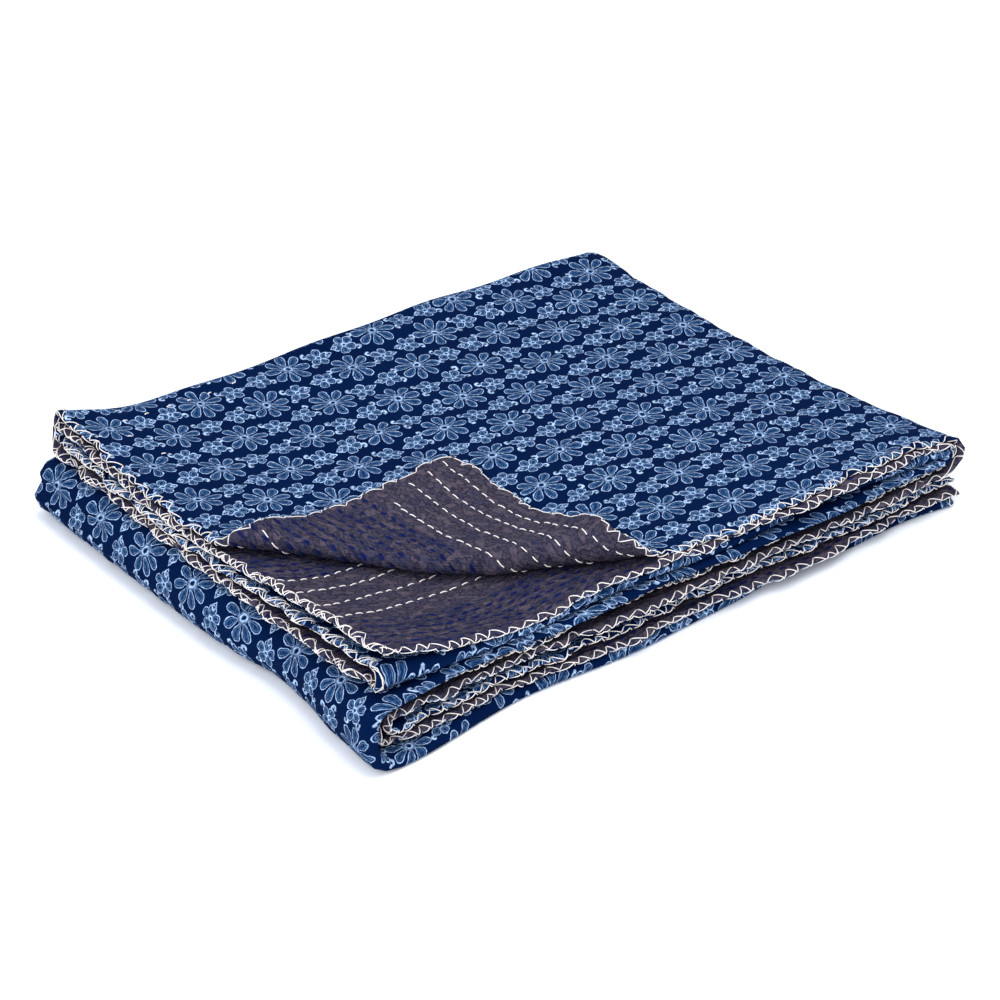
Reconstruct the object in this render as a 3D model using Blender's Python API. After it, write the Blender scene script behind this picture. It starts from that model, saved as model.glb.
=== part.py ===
"""Kantha quilt, folded to twelve plies with one corner of the top ply turned back.

The quilt is two cotton cloths, quilted together: an indigo printed front and a plain
backing.  It is folded in half, in half again, and then in thirds.  Both cloths follow one
sheet, which is laid out flat as a grid, thickened, and carried through the folds.

Fold frame: X runs along the long side of the pile, Y from the front to the back, Z up.
Heights inside the pile are counted in plies, from 0 at the bottom ply to 11 at the top one.
"""

import itertools
import math

import bmesh
import bpy
import numpy as np
from mathutils import Vector

MM = 0.001

# The two cloths, and the gap that separate pieces keep.
CLOTH = 1.0 * MM
CLOTH_GAP = 0.3 * MM
QUILT = 2 * CLOTH + CLOTH_GAP

# The pile: where the straight runs of cloth begin and end.
LEFT_END = 0.0
RIGHT_FOLD_X = 425 * MM
LEFT_FOLD_X = 5 * MM
BOTTOM_END = 441 * MM
BACK_FOLD_Y = 336 * MM

# The middle of the whole pile's footprint, which becomes the origin.
CENTRE = Vector((212.8 * MM, 167.8 * MM, 0.0))

# The pack of four plies: the height of each of its runs, in plies, as the pack lies on top.
# The first run is the pile's top ply, then comes the pack's lowest one, and so on.
PACK_PLIES = (3, 0, 1, 2)
PACK_TOP = 3

# Plies of the whole pile: the top one, and the middle of the right fold.
TOP_PLY = 11
RIGHT_AXIS = 7.5

# Height of the top of the pile, in mm: a row for each section across it.
HEIGHT_X = np.array([0, 45, 100, 160, 240, 340, 430]) * MM
HEIGHT_ROWS = (
    # y, then the height at each x
    (0, (90, 73, 59, 62, 57, 60, 53)),
    (50, (84, 64, 48, 51, 54, 55, 48)),
    (110, (76, 58, 45, 47, 51, 50, 44)),
    (170, (64, 57, 50, 48, 48, 47, 42)),
    (240, (62, 55, 49, 46, 44, 43, 40)),
    (300, (68, 57, 50, 47, 46, 43, 39)),
    (340, (73, 59, 53, 50, 50, 47, 42)),
)

# Height of the fold axis between the eighth and ninth ply from the bottom, in mm.
LOWER_X = np.array([0, 100, 430]) * MM
LOWER_ROWS = (
    (0, (46.0, 45.5, 40.3)),
    (90, (40.0, 26.5, 30.0)),
    (170, (39.0, 29.0, 27.5)),
    (340, (39.5, 34.0, 27.0)),
)

# At the front the hems fan out and the folds are pressed flat: plies, and the level of each.
FRONT_PLIES = np.array([0, 1, 2, 3, 4, 5, 6, 7, RIGHT_AXIS])
FRONT_LEVELS = np.array([0, 0.78, 1.72, 3.1, 4.7, 6.02, 6.6, 7.14, RIGHT_AXIS])
FRONT_REACH = 100 * MM

# How far each line of the cloth lies from its straight place, in mm, at places along U.
LINE_COLUMNS = ("first_hem", "second_hem", "front_fold", "back_fold")
LINE_ROWS = (
    # u, then how far each of the four lines is off
    (0, (0, 0, 1, 0)),
    (90, (0, -4, 1, 0)),
    (170, (0, 0, 2, 0)),
    (250, (-1, -3, 2, 1)),
    (425, (0, -1, 2, -1)),
    (451, (0, 2, 0, -1)),
    (560, (-3, 1, -2, 2)),
    (700, (-3, 2, 0, 2)),
    (871, (1, 2, -3, 1)),
    (901, (0, 2, -6, 2)),
    (1000, (1, 1, 4, 2)),
    (1100, (1, -3, 1, 2)),
    (1160, (1, -4, 4, 2)),
    (1210, (1, -4, 10, 1)),
    (1260, (1, -3, 7, 0)),
    (1337, (2, 0, 3, -2)),
)
# Slow waves along those lines: height in mm, waves per run, and turn at the start.
WAVE_ROWS = (
    (1.5, 2.3, 0.4),
    (2.0, 2.9, 3.2),
    (1.2, 2.6, 1.9),
    (1.0, 1.1, 5.0),
)

# The left hems of the top section step outwards from the top ply down, in mm.
HEM_STEP = 1.7 * MM

# The turned-back corner.  It is measured from the pile's corner along S, which runs to the
# corner's new place, and along T, which runs beside the crease.
TURN_ANGLE = math.radians(43.9)
TIP_DISTANCE = 255 * MM
FLAP_REST = QUILT + 2.0 * MM
FLAP_SETTLE = 70 * MM
ROLL_ROWS = (
    # t, the roll's radius, and how far the cloth is pulled in, all in mm
    (-125, (6.5, 38)),
    (-97, (6.5, 36)),
    (-70, (5.0, 26)),
    (-42, (4.0, 13)),
    (-14, (4.0, 4)),
    (14, (5.0, 0)),
    (50, (7.0, 0)),
    (90, (11.0, 0)),
    (134, (16.5, 0)),
)

# The right fold draws in towards the back.
RIGHT_TAPER = 8 * MM
RIGHT_FADE = 200 * MM

# The left fold swells towards the back, with a soft dent pinched between two plies, and is
# hollow nearer the front.
DENT_DEPTH = 6.5 * MM
DENT_HEIGHT = 4.4
DENT_SPREAD = 1.1
BULGE_BACK = 5 * MM
BULGE_FADE = 70 * MM
HOLLOW = 7 * MM
HOLLOW_AT = 92 * MM
HOLLOW_WIDTH = 42 * MM

# The flat sheet: length of each leg along U and V.  A run of cloth and a fold take turns.
U_LEGS = np.array([425, 26, 420, 30, 436]) * MM
V_LEGS = np.array([336, 20, 336, 7, 336, 7, 336]) * MM

# Grid of the flat sheet: steps round each fold, and lines across the runs.  The lines lie at
# the same places in every ply, so that the plies nest.
U_FOLD_STEPS = (5, 5)
V_FOLD_STEPS = (5, 3, 3)
X_LINES = np.array([15, 50, 110, 200, 320]) * MM
Y_LINES = np.array([12, 45, 95, 165, 250]) * MM
CURL_CUTS = 6
CURL_STRETCHES = ((-150 * MM, -14 * MM), (-14 * MM, 200 * MM))
CURL_SNAP = 0.2 * MM
SMOOTH_ANGLE = math.radians(50)


def curve_weights(knots, where):
    """The knot before each place, and the share of the way to the next knot."""
    left = np.clip(np.searchsorted(knots, where) - 1, 0, len(knots) - 2)
    share = (where - knots[left]) / (knots[left + 1] - knots[left])
    return left, np.clip(share, 0.0, 1.0)


def smooth_curve(knots, values, where):
    """Values (one row a knot) read at each place from a smooth curve through the knots."""
    slopes = np.gradient(values, knots, axis=0)
    left, share = curve_weights(knots, where)
    column = np.arange(len(where)) if values.shape[1] > 1 else np.zeros(len(where), int)
    gap = knots[left + 1] - knots[left]
    start, end = values[left, column], values[left + 1, column]
    rise, fall = slopes[left, column] * gap, slopes[left + 1, column] * gap
    square, cube = share**2, share**3
    return (
        (2 * cube - 3 * square + 1) * start
        + (cube - 2 * square + share) * rise
        + (3 * square - 2 * cube) * end
        + (cube - square) * fall
    )


def smooth_table(knots_x, rows, x, y):
    """A table of heights in mm, read at each (x, y)."""
    knots_y = np.array([row[0] for row in rows]) * MM
    across = [smooth_curve(knots_x, np.array(row[1], float)[:, None], x) for row in rows]
    return smooth_curve(knots_y, np.array(across), y) * MM


def smooth_step(share):
    share = np.clip(share, 0.0, 1.0)
    return share * share * (3 - 2 * share)


def pile_height(x, y, ply):
    """Height of a sheet's middle at (x, y), for a place counted in plies."""
    top = smooth_table(HEIGHT_X, HEIGHT_ROWS, x, y) - QUILT
    lower = smooth_table(LOWER_X, LOWER_ROWS, x, y)
    above = np.clip(ply - RIGHT_AXIS, 0.0, None) / (TOP_PLY - RIGHT_AXIS)
    below = np.clip(ply, None, RIGHT_AXIS)
    fanned = smooth_curve(FRONT_PLIES, FRONT_LEVELS[:, None], below)
    near_front = smooth_step(1 - y / FRONT_REACH)
    level = below + (fanned - below) * near_front
    return QUILT / 2 + lower * level / RIGHT_AXIS + (top - lower) * above


def ply_pitch(x, y):
    """Height of one ply in the lower part of the pile."""
    return smooth_table(LOWER_X, LOWER_ROWS, x, y) / RIGHT_AXIS


def leg_of(legs, where):
    """Which leg of the flat sheet a place is on, and how far along that leg it is."""
    ends = np.concatenate([[0.0], np.cumsum(legs)])
    return curve_weights(ends, where)


def line_place(name, u):
    """Y of a hem or fold line, at each place along the sheet."""
    column = LINE_COLUMNS.index(name)
    knots = np.array([row[0] for row in LINE_ROWS]) * MM
    offsets = np.array([[row[1][column]] for row in LINE_ROWS], float)
    height, waves, turn = WAVE_ROWS[column]
    wave = height * np.sin(2 * math.pi * waves * u / U_LEGS[0] + turn)
    return (smooth_curve(knots, offsets, u) + wave) * MM


def back_and_forth(legs, where, turns, plies, pitches):
    """Place along the runs, and height in plies, of a sheet folded back and forth.

    Run k goes from turn k to turn k + 1 at the height of ply k.  The fold after it is half an
    ellipse, as high as the two plies that it joins are apart.
    """
    leg, share = leg_of(legs, where)
    run, in_fold = leg // 2, leg % 2 == 1
    here = np.choose(run, plies)
    after = np.choose(np.minimum(run + 1, len(plies) - 1), plies)
    pitch = np.choose(np.minimum(run, len(pitches) - 1), pitches)
    start, end = np.choose(run, turns[:-1]), np.choose(run, turns[1:])
    angle = math.pi * share
    outward = np.where(run % 2 == 0, 1.0, -1.0)
    depth = outward * np.abs(here - after) / 2 * pitch * np.sin(angle)
    place = np.where(in_fold, end + depth, start + (end - start) * share)
    ply = np.where(in_fold, (here + after) / 2 + (here - after) / 2 * np.cos(angle), here)
    return place, ply


def across_pack(u, v):
    """Y, and height in plies, of the sheet in the four-ply pack."""
    zero = np.zeros_like(u)
    back = BACK_FOLD_Y + line_place("back_fold", u)
    front = line_place("front_fold", u)
    turns = [line_place("first_hem", u), back, front, back, line_place("second_hem", u)]
    pitch = ply_pitch(zero + RIGHT_FOLD_X / 2, zero + BACK_FOLD_Y / 2)
    return back_and_forth(V_LEGS, v, turns, [zero + ply for ply in PACK_PLIES], [pitch])


def along_pile(u, y, height):
    """X, and height in plies, as the pack runs right, back left and right again."""
    zero = np.zeros_like(u)
    hem = LEFT_END - HEM_STEP * (PACK_TOP - height)
    turns = [hem, zero + RIGHT_FOLD_X, zero + LEFT_FOLD_X, zero + BOTTOM_END]
    top, middle = TOP_PLY - PACK_TOP + height, 2 * RIGHT_AXIS - TOP_PLY + PACK_TOP - height
    pitches = [ply_pitch(zero + RIGHT_FOLD_X, y), ply_pitch(zero + LEFT_FOLD_X, y)]
    return back_and_forth(U_LEGS, u, turns, [top, middle, height], pitches)


def roll_curve(column, t):
    """A column of the roll's table, read at each place along the crease."""
    knots = np.array([row[0] for row in ROLL_ROWS]) * MM
    values = np.array([[row[1][column]] for row in ROLL_ROWS], float)
    return smooth_curve(knots, values, t) * MM


def roll_radius(t):
    """Radius of the turned corner's roll, which is widest at the front hem."""
    return roll_curve(0, t)


def turned_distance(t):
    """How far along S the cloth is carried; it is pulled in towards the left hem."""
    return TIP_DISTANCE - roll_curve(1, t)


def roll_start(t):
    return (turned_distance(t) + math.pi * roll_radius(t)) / 2


def to_corner_lines(x, y):
    """X and Y as distances along S and T; the same turn brings S and T back to X and Y."""
    along, beside = math.cos(TURN_ANGLE), math.sin(TURN_ANGLE)
    return along * x + beside * y, beside * x - along * y


def turn_corner(x, y):
    """Where the top ply's corner goes: new x and y, and the lift above the ply."""
    s, t = to_corner_lines(x, y)
    radius = roll_radius(t)
    past = roll_start(t) - s
    angle = np.clip(past / radius, 0.0, math.pi)
    flat = np.clip(past - math.pi * radius, 0.0, None)
    new_s = np.where(past > 0, roll_start(t) - radius * np.sin(angle) + flat, s)
    drop = (2 * radius - FLAP_REST) * smooth_step(flat / FLAP_SETTLE)
    lift = np.where(past > 0, radius * (1 - np.cos(angle)) - drop, 0.0)
    new_x, new_y = to_corner_lines(new_s, t)
    return new_x, new_y, lift


def draw_in_sides(x, y, ply):
    """X with the right side drawn in, and the left fold swollen, dented and hollow."""
    near_right = smooth_step((x - RIGHT_FADE) / (RIGHT_FOLD_X - RIGHT_FADE))
    near_left = smooth_step((BULGE_FADE - x) / BULGE_FADE)
    to_back = smooth_step(y / BACK_FOLD_Y)
    low = smooth_step((RIGHT_AXIS - ply) / 1.0)
    dent = DENT_DEPTH * np.exp(-(((ply - DENT_HEIGHT) / DENT_SPREAD) ** 2)) * to_back**3
    hollow = HOLLOW * np.exp(-(((y - HOLLOW_AT) / HOLLOW_WIDTH) ** 2))
    left_shift = near_left * low * (dent + hollow - BULGE_BACK * to_back)
    return x + left_shift - near_right * RIGHT_TAPER * smooth_step(y / RIGHT_FADE)


def sheet_place(u, v):
    """The middle of the folded quilt, for places (u, v) on the flat sheet."""
    y, height = across_pack(u, v)
    x, ply = along_pile(u, y, height)
    x = draw_in_sides(x, y, ply)
    on_corner = (leg_of(U_LEGS, u)[0] == 0) & (leg_of(V_LEGS, v)[0] == 0)
    turned_x, turned_y, lift = turn_corner(x, y)
    x = np.where(on_corner, turned_x, x)
    y = np.where(on_corner, turned_y, y)
    z = pile_height(x, y, ply) + np.where(on_corner, lift, 0.0)
    return np.stack([x, y, z], axis=1)


def sheet_normal(u, v, step=0.05 * MM):
    """Unit normal of the folded quilt, on the side of the printed cloth."""
    end_u, end_v = U_LEGS.sum(), V_LEGS.sum()
    along = sheet_place(np.minimum(u + step, end_u), v) - sheet_place(np.maximum(u - step, 0), v)
    across = sheet_place(u, np.minimum(v + step, end_v)) - sheet_place(u, np.maximum(v - step, 0))
    normal = np.cross(along, across)
    return normal / np.linalg.norm(normal, axis=1, keepdims=True)


def leg_lines(legs, turns, fold_steps, run_lines):
    """Grid lines along all the legs of the flat sheet."""
    lines = []
    start = 0.0
    for number, length in enumerate(legs):
        run, in_fold = divmod(number, 2)
        if in_fold:
            shares = [step / fold_steps[run] for step in range(fold_steps[run])]
        else:
            first, last = turns[run], turns[run + 1]
            shares = [0.0] + sorted((line - first) / (last - first) for line in run_lines)
        lines += [start + share * length for share in shares]
        start += length
    return lines + [start]


def cut_curl_lines(flat):
    """Cut the flat sheet's corner along the roll, so that it can bend there."""
    angles = [math.pi * step / (CURL_CUTS - 1) for step in range(CURL_CUTS)]
    for angle, (first, last) in itertools.product(angles, CURL_STRETCHES):
        t = np.array([first, last])
        ends_x, ends_y = to_corner_lines(roll_start(t) - angle * roll_radius(t), t)
        across = Vector((ends_y[0] - ends_y[1], ends_x[1] - ends_x[0], 0.0))
        stretch = []
        for face in flat.faces:
            centre = face.calc_center_median()
            beside = to_corner_lines(centre.x, centre.y)[1]
            if centre.x < U_LEGS[0] and centre.y < V_LEGS[0] and first <= beside <= last:
                stretch.append(face)
        edges = {edge for face in stretch for edge in face.edges}
        verts = {vert for face in stretch for vert in face.verts}
        bmesh.ops.bisect_plane(
            flat,
            geom=list(verts) + list(edges) + stretch,
            dist=CURL_SNAP,
            plane_co=(ends_x[0], ends_y[0], 0.0),
            plane_no=across.normalized(),
        )


def split_into_triangles(flat):
    """Split each face the way that gives every ply the same diagonals, seen from above."""
    centres = [face.calc_center_median() for face in flat.faces]
    u_leg = leg_of(U_LEGS, np.array([centre.x for centre in centres]))[0]
    v_leg = leg_of(V_LEGS, np.array([centre.y for centre in centres]))[0]
    mirrored = (u_leg // 2 + v_leg // 2) % 2 == 1
    faces = list(flat.faces)
    for turned, method in ((False, "FIXED"), (True, "ALTERNATE")):
        chosen = [face for face, other in zip(faces, mirrored) if other == turned]
        bmesh.ops.triangulate(flat, faces=chosen, quad_method=method)


def flat_sheet():
    """The quilt laid out flat, as a triangle mesh whose lines match the folds."""
    x_turns = (LEFT_END, RIGHT_FOLD_X, LEFT_FOLD_X, BOTTOM_END)
    y_turns = (0.0, BACK_FOLD_Y, 0.0, BACK_FOLD_Y, 0.0)
    lines_u = leg_lines(U_LEGS, x_turns, U_FOLD_STEPS, X_LINES)
    lines_v = leg_lines(V_LEGS, y_turns, V_FOLD_STEPS, Y_LINES)
    flat = bmesh.new()
    bmesh.ops.create_grid(
        flat, x_segments=len(lines_u) - 1, y_segments=len(lines_v) - 1, size=0.5
    )
    for vert in flat.verts:
        column = round((vert.co.x + 0.5) * (len(lines_u) - 1))
        row = round((vert.co.y + 0.5) * (len(lines_v) - 1))
        vert.co = (lines_u[column], lines_v[row], 0.0)
    cut_curl_lines(flat)
    split_into_triangles(flat)
    return flat


def make_cloth(name, inner, outer, material, parent):
    """One cloth of the quilt, between two distances from the middle of the sheet."""
    flat = flat_sheet()
    extruded = bmesh.ops.extrude_face_region(flat, geom=flat.faces[:])
    raised = {item for item in extruded["geom"] if isinstance(item, bmesh.types.BMVert)}
    verts = list(flat.verts)
    u = np.array([vert.co.x for vert in verts])
    v = np.array([vert.co.y for vert in verts])
    offset = np.array([outer if vert in raised else inner for vert in verts])
    places = sheet_place(u, v) + sheet_normal(u, v) * offset[:, None]
    for vert, place in zip(verts, places):
        vert.co = Vector(place) - CENTRE
    bmesh.ops.recalc_face_normals(flat, faces=flat.faces[:])
    if flat.calc_volume(signed=True) < 0:
        bmesh.ops.reverse_faces(flat, faces=flat.faces[:])
    mesh = bpy.data.meshes.new(name)
    flat.to_mesh(mesh)
    flat.free()
    mesh.shade_smooth()
    mesh.set_sharp_from_angle(angle=SMOOTH_ANGLE)
    mesh.materials.append(material)
    cloth = bpy.data.objects.new(name, mesh)
    cloth.parent = parent
    bpy.data.collections["kantha_quilt"].objects.link(cloth)
    return cloth


def make_material(name, colour, roughness):
    material = bpy.data.materials.new(name)
    material.use_nodes = True
    shader = material.node_tree.nodes["Principled BSDF"]
    shader.inputs["Base Color"].default_value = (*colour, 1.0)
    shader.inputs["Roughness"].default_value = roughness
    shader.inputs["Metallic"].default_value = 0.0
    return material


def start_collection():
    for item in list(bpy.data.objects):
        bpy.data.objects.remove(item, do_unlink=True)
    collection = bpy.data.collections.new("kantha_quilt")
    bpy.context.scene.collection.children.link(collection)
    root = bpy.data.objects.new("folded_pile", None)
    collection.objects.link(root)
    return root


def main():
    pile = start_collection()
    indigo = make_material("indigo_cotton", (0.012, 0.045, 0.16), 0.85)
    brown = make_material("grey_brown_cotton", (0.095, 0.065, 0.06), 0.9)
    make_cloth("front_cloth", CLOTH_GAP / 2, QUILT / 2, indigo, pile)
    make_cloth("backing_cloth", -QUILT / 2, -CLOTH_GAP / 2, brown, pile)


main()
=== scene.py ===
# %% [markdown]
# # A folded kantha quilt
#
# A kantha quilt is two cotton cloths, held together by rows of plain running stitches and
# whipped along the hems with cream thread. This one is folded in half, in half again, and
# then in thirds, and the corner of its top ply is turned back, so both cloths show.
#
# The lesson builds it the way it is made. First one flat sheet, then the folds as a function
# of a place on that sheet, then the two cloths, their dyes, and last the thread.

import itertools
import math

import bmesh
import bpy
import numpy as np
from mathutils import Matrix, Vector


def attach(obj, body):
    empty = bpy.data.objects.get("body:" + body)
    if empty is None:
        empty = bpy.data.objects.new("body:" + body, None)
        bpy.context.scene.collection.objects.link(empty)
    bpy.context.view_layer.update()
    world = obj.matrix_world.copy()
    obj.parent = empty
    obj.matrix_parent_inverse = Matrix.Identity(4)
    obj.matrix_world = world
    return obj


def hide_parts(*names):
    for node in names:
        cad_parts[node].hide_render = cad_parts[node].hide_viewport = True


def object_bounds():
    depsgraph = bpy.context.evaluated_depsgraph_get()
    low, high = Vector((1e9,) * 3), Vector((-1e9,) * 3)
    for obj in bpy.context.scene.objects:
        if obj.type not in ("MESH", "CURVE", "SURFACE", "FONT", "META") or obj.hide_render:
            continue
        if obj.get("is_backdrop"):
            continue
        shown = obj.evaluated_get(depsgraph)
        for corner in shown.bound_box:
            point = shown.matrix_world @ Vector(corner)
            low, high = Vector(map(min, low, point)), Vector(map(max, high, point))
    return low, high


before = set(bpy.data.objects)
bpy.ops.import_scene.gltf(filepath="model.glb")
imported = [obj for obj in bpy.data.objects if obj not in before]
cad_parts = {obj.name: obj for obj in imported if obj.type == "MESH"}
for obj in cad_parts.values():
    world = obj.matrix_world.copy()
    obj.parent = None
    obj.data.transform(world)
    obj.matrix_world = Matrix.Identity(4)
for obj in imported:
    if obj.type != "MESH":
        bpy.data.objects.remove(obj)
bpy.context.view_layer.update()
print("solids:", sorted(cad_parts))

# %% [markdown]
# ## Sizes
#
# The quilt is 2.3 mm thick: two cloths of 1 mm, each with its half of the thin filling, and a
# gap between them that keeps the pieces apart. Laid out flat, the sheet is measured by U along
# the long side of the pile and V across it. Along each of them a straight run of cloth and a
# fold take turns. All lengths below are in millimetres, turned to metres by MM.

# %% Sizes of the sheet and the pile
MM = 0.001

CLOTH = 1.0 * MM
CLOTH_GAP = 0.3 * MM
QUILT = 2 * CLOTH + CLOTH_GAP

U_LEGS = np.array([425, 26, 420, 30, 436]) * MM
V_LEGS = np.array([336, 20, 336, 7, 336, 7, 336]) * MM
FLAT_U, FLAT_V = U_LEGS.sum(), V_LEGS.sum()

LEFT_END = 0.0
RIGHT_FOLD_X = 425 * MM
LEFT_FOLD_X = 5 * MM
BOTTOM_END = 441 * MM
BACK_FOLD_Y = 336 * MM
CENTRE = Vector((212.8 * MM, 167.8 * MM, 0.0))

PACK_PLIES = (3, 0, 1, 2)
PACK_TOP = 3
TOP_PLY = 11
RIGHT_AXIS = 7.5
print(f"flat quilt {FLAT_U:.3f} x {FLAT_V:.3f} m, {QUILT / MM:.1f} mm thick")

# %% [markdown]
# ## The view
#
# A folded quilt shows best from a little above, with one corner towards the eye, so that the
# top and two sides are in view. A long lens keeps the sides of the pile almost parallel. The
# direction is set with two angles, because they can be read off and changed more easily than
# a rotation matrix.

# %% Camera
VIEW_YAW = math.radians(37.8)
VIEW_PITCH = math.radians(32.6)
VIEW_PLACE = Vector((-1.05135, -1.46071, 1.32784))
LENS = 142.2
SENSOR = 36.0


def add_object(name, data):
    """An object linked into the scene."""
    added = bpy.data.objects.new(name, data)
    bpy.context.scene.collection.objects.link(added)
    return added


def place_camera():
    """A long lens on the front left corner of the pile."""
    ahead = Vector(
        (
            math.sin(VIEW_YAW) * math.cos(VIEW_PITCH),
            math.cos(VIEW_YAW) * math.cos(VIEW_PITCH),
            -math.sin(VIEW_PITCH),
        )
    )
    right = Vector((math.cos(VIEW_YAW), -math.sin(VIEW_YAW), 0.0))
    camera = add_object("camera", bpy.data.cameras.new("camera"))
    camera.data.lens = LENS
    camera.data.sensor_width = SENSOR
    turn = Matrix((right, right.cross(ahead), -ahead)).transposed().to_4x4()
    camera.matrix_world = Matrix.Translation(VIEW_PLACE - CENTRE) @ turn
    bpy.context.scene.camera = camera
    return camera


camera = place_camera()
print("camera at", [round(value, 2) for value in camera.location], f"lens {LENS} mm")

# %% [markdown]
# ## Colours and nodes
#
# Dyers and printers name colours by eye, and on a screen that is an sRGB hex value. Blender
# mixes light, so it wants linear values, and one function turns the first into the second.
# A second small function adds any shader node with its settings and links. With it each
# material below reads as a list of what happens to the cloth.

# %% Helpers for colours and nodes
def linear(hex_colour):
    """An sRGB hex value as a linear colour."""
    channels = [int(hex_colour[i : i + 2], 16) / 255 for i in (1, 3, 5)]
    low = [c / 12.92 for c in channels]
    high = [((c + 0.055) / 1.055) ** 2.4 for c in channels]
    return tuple(b if c > 0.04045 else a for a, b, c in zip(low, high, channels)) + (1.0,)


def node(tree, kind, inputs=(), output=0, **settings):
    """Add a node; inputs are sockets or values, by place or by name. Returns one output."""
    added = tree.nodes.new("ShaderNode" + kind)
    for name, value in settings.items():
        setattr(added, name, value)
    named = inputs.items() if isinstance(inputs, dict) else enumerate(inputs)
    for name, value in named:
        if isinstance(value, bpy.types.NodeSocket):
            tree.links.new(value, added.inputs[name])
        elif value is not None:
            added.inputs[name].default_value = value
    return added.outputs[output] if added.outputs else added


def empty_material(name):
    """A new material without any nodes, and its node tree."""
    material = bpy.data.materials.new(name)
    material.use_nodes = True
    material.node_tree.nodes.clear()
    return material, material.node_tree


def matt_surface(tree, colour, roughness, gloss, bump=None):
    """The end of each material here: a rough surface with little gloss, and its output."""
    sockets = {"Base Color": colour, "Roughness": roughness, "Specular IOR Level": gloss}
    node(tree, "OutputMaterial", [node(tree, "BsdfPrincipled", {**sockets, "Normal": bump})])


print("navy in linear light:", [round(c, 4) for c in linear("#02193f")[:3]])

# %% [markdown]
# ## Table and light
#
# The pile lies on a white paper sweep under soft studio light: a large soft box high above
# the pile, a weaker one from the left, and white surroundings that fill the gaps between the
# plies. Paper is matt and reflects about nine tenths of the light, so it goes almost white.

# %% Floor, surroundings and lamps
PAPER = "#f4f6fa"
PAPER_ROUGHNESS, PAPER_GLOSS = 0.9, 0.5
FLOOR_SIZE = 12.0
FLOOR_DROP = 0.05 * MM
SURROUNDINGS = 0.9
SURROUNDINGS_WHITE = "#eff5ff"
LAMPS = (
    # name, place and size in metres, and power in watts
    ("key_soft_box", (0.1, -0.5, 2.4), 1.8, 37),
    ("side_soft_box", (-1.5, -1.1, 1.3), 1.4, 32),
)


def make_floor():
    """The sheet of white paper that the pile lies on."""
    bpy.ops.mesh.primitive_plane_add(size=FLOOR_SIZE, location=(0, 0, -FLOOR_DROP))
    floor = bpy.context.object
    floor.name = "paper_floor"
    paper, tree = empty_material("matt_white_paper")
    matt_surface(tree, linear(PAPER), PAPER_ROUGHNESS, PAPER_GLOSS)
    floor.data.materials.append(paper)
    floor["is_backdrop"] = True
    return floor


def soft_box(name, place, size, power):
    """A square area lamp that faces the pile."""
    lamp = add_object(name, bpy.data.lights.new(name, "AREA"))
    lamp.data.size = size
    lamp.data.energy = power
    lamp.location = place
    lamp.rotation_mode = "QUATERNION"
    lamp.rotation_quaternion = Vector(place).to_track_quat("Z", "Y")
    return lamp


floor = make_floor()
world = bpy.data.worlds.new("white_surroundings")
bpy.context.scene.world = world
world.use_nodes = True
background = world.node_tree.nodes["Background"]
background.inputs["Color"].default_value = linear(SURROUNDINGS_WHITE)
background.inputs["Strength"].default_value = SURROUNDINGS
lamps = [soft_box(*lamp) for lamp in LAMPS]
bpy.context.scene.view_settings.view_transform = "Standard"
print("lamps:", [(lamp.name, lamp.data.energy) for lamp in lamps])

# %% [markdown]
# ## Smooth tables
#
# Folded cloth has no exact radius anywhere. Its height changes slowly over the pile, so a
# small table of heights, with a smooth curve through it, says all there is to say. The same
# curve reads the lines of the hems and the shape of the turned-back corner.

# %% Curves through tables
def curve_weights(knots, where):
    """The knot before each place, and the share of the way to the next knot."""
    left = np.clip(np.searchsorted(knots, where) - 1, 0, len(knots) - 2)
    share = (where - knots[left]) / (knots[left + 1] - knots[left])
    return left, np.clip(share, 0.0, 1.0)


def smooth_curve(knots, values, where):
    """Values (one row a knot) read at each place from a smooth curve through the knots."""
    slopes = np.gradient(values, knots, axis=0)
    left, share = curve_weights(knots, where)
    column = np.arange(len(where)) if values.shape[1] > 1 else np.zeros(len(where), int)
    gap = knots[left + 1] - knots[left]
    start, end = values[left, column], values[left + 1, column]
    rise, fall = slopes[left, column] * gap, slopes[left + 1, column] * gap
    square, cube = share**2, share**3
    return (
        (2 * cube - 3 * square + 1) * start
        + (cube - 2 * square + share) * rise
        + (3 * square - 2 * cube) * end
        + (cube - square) * fall
    )


def smooth_table(knots_x, rows, x, y):
    """A table of heights in mm, read at each (x, y)."""
    knots_y = np.array([row[0] for row in rows]) * MM
    across = [smooth_curve(knots_x, np.array(row[1], float)[:, None], x) for row in rows]
    return smooth_curve(knots_y, np.array(across), y) * MM


def smooth_step(share):
    """0 up to share 0, 1 from share 1, and a soft rise between them."""
    share = np.clip(share, 0.0, 1.0)
    return share * share * (3 - 2 * share)


print("halfway up a smooth step:", float(smooth_step(np.array(0.5))))

# %% [markdown]
# ## Height of the pile
#
# The pile is puffed up along its left and front hems, where the stitching is thickest, and
# pressed down in the middle. Heights inside it are counted in plies, from 0 at the bottom to
# 11 at the top. One table gives the top, and one gives the level where the upper section of
# four plies begins. Towards the front the loose hems fan out while the folds are pressed flat,
# which a last short table says.

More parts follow.
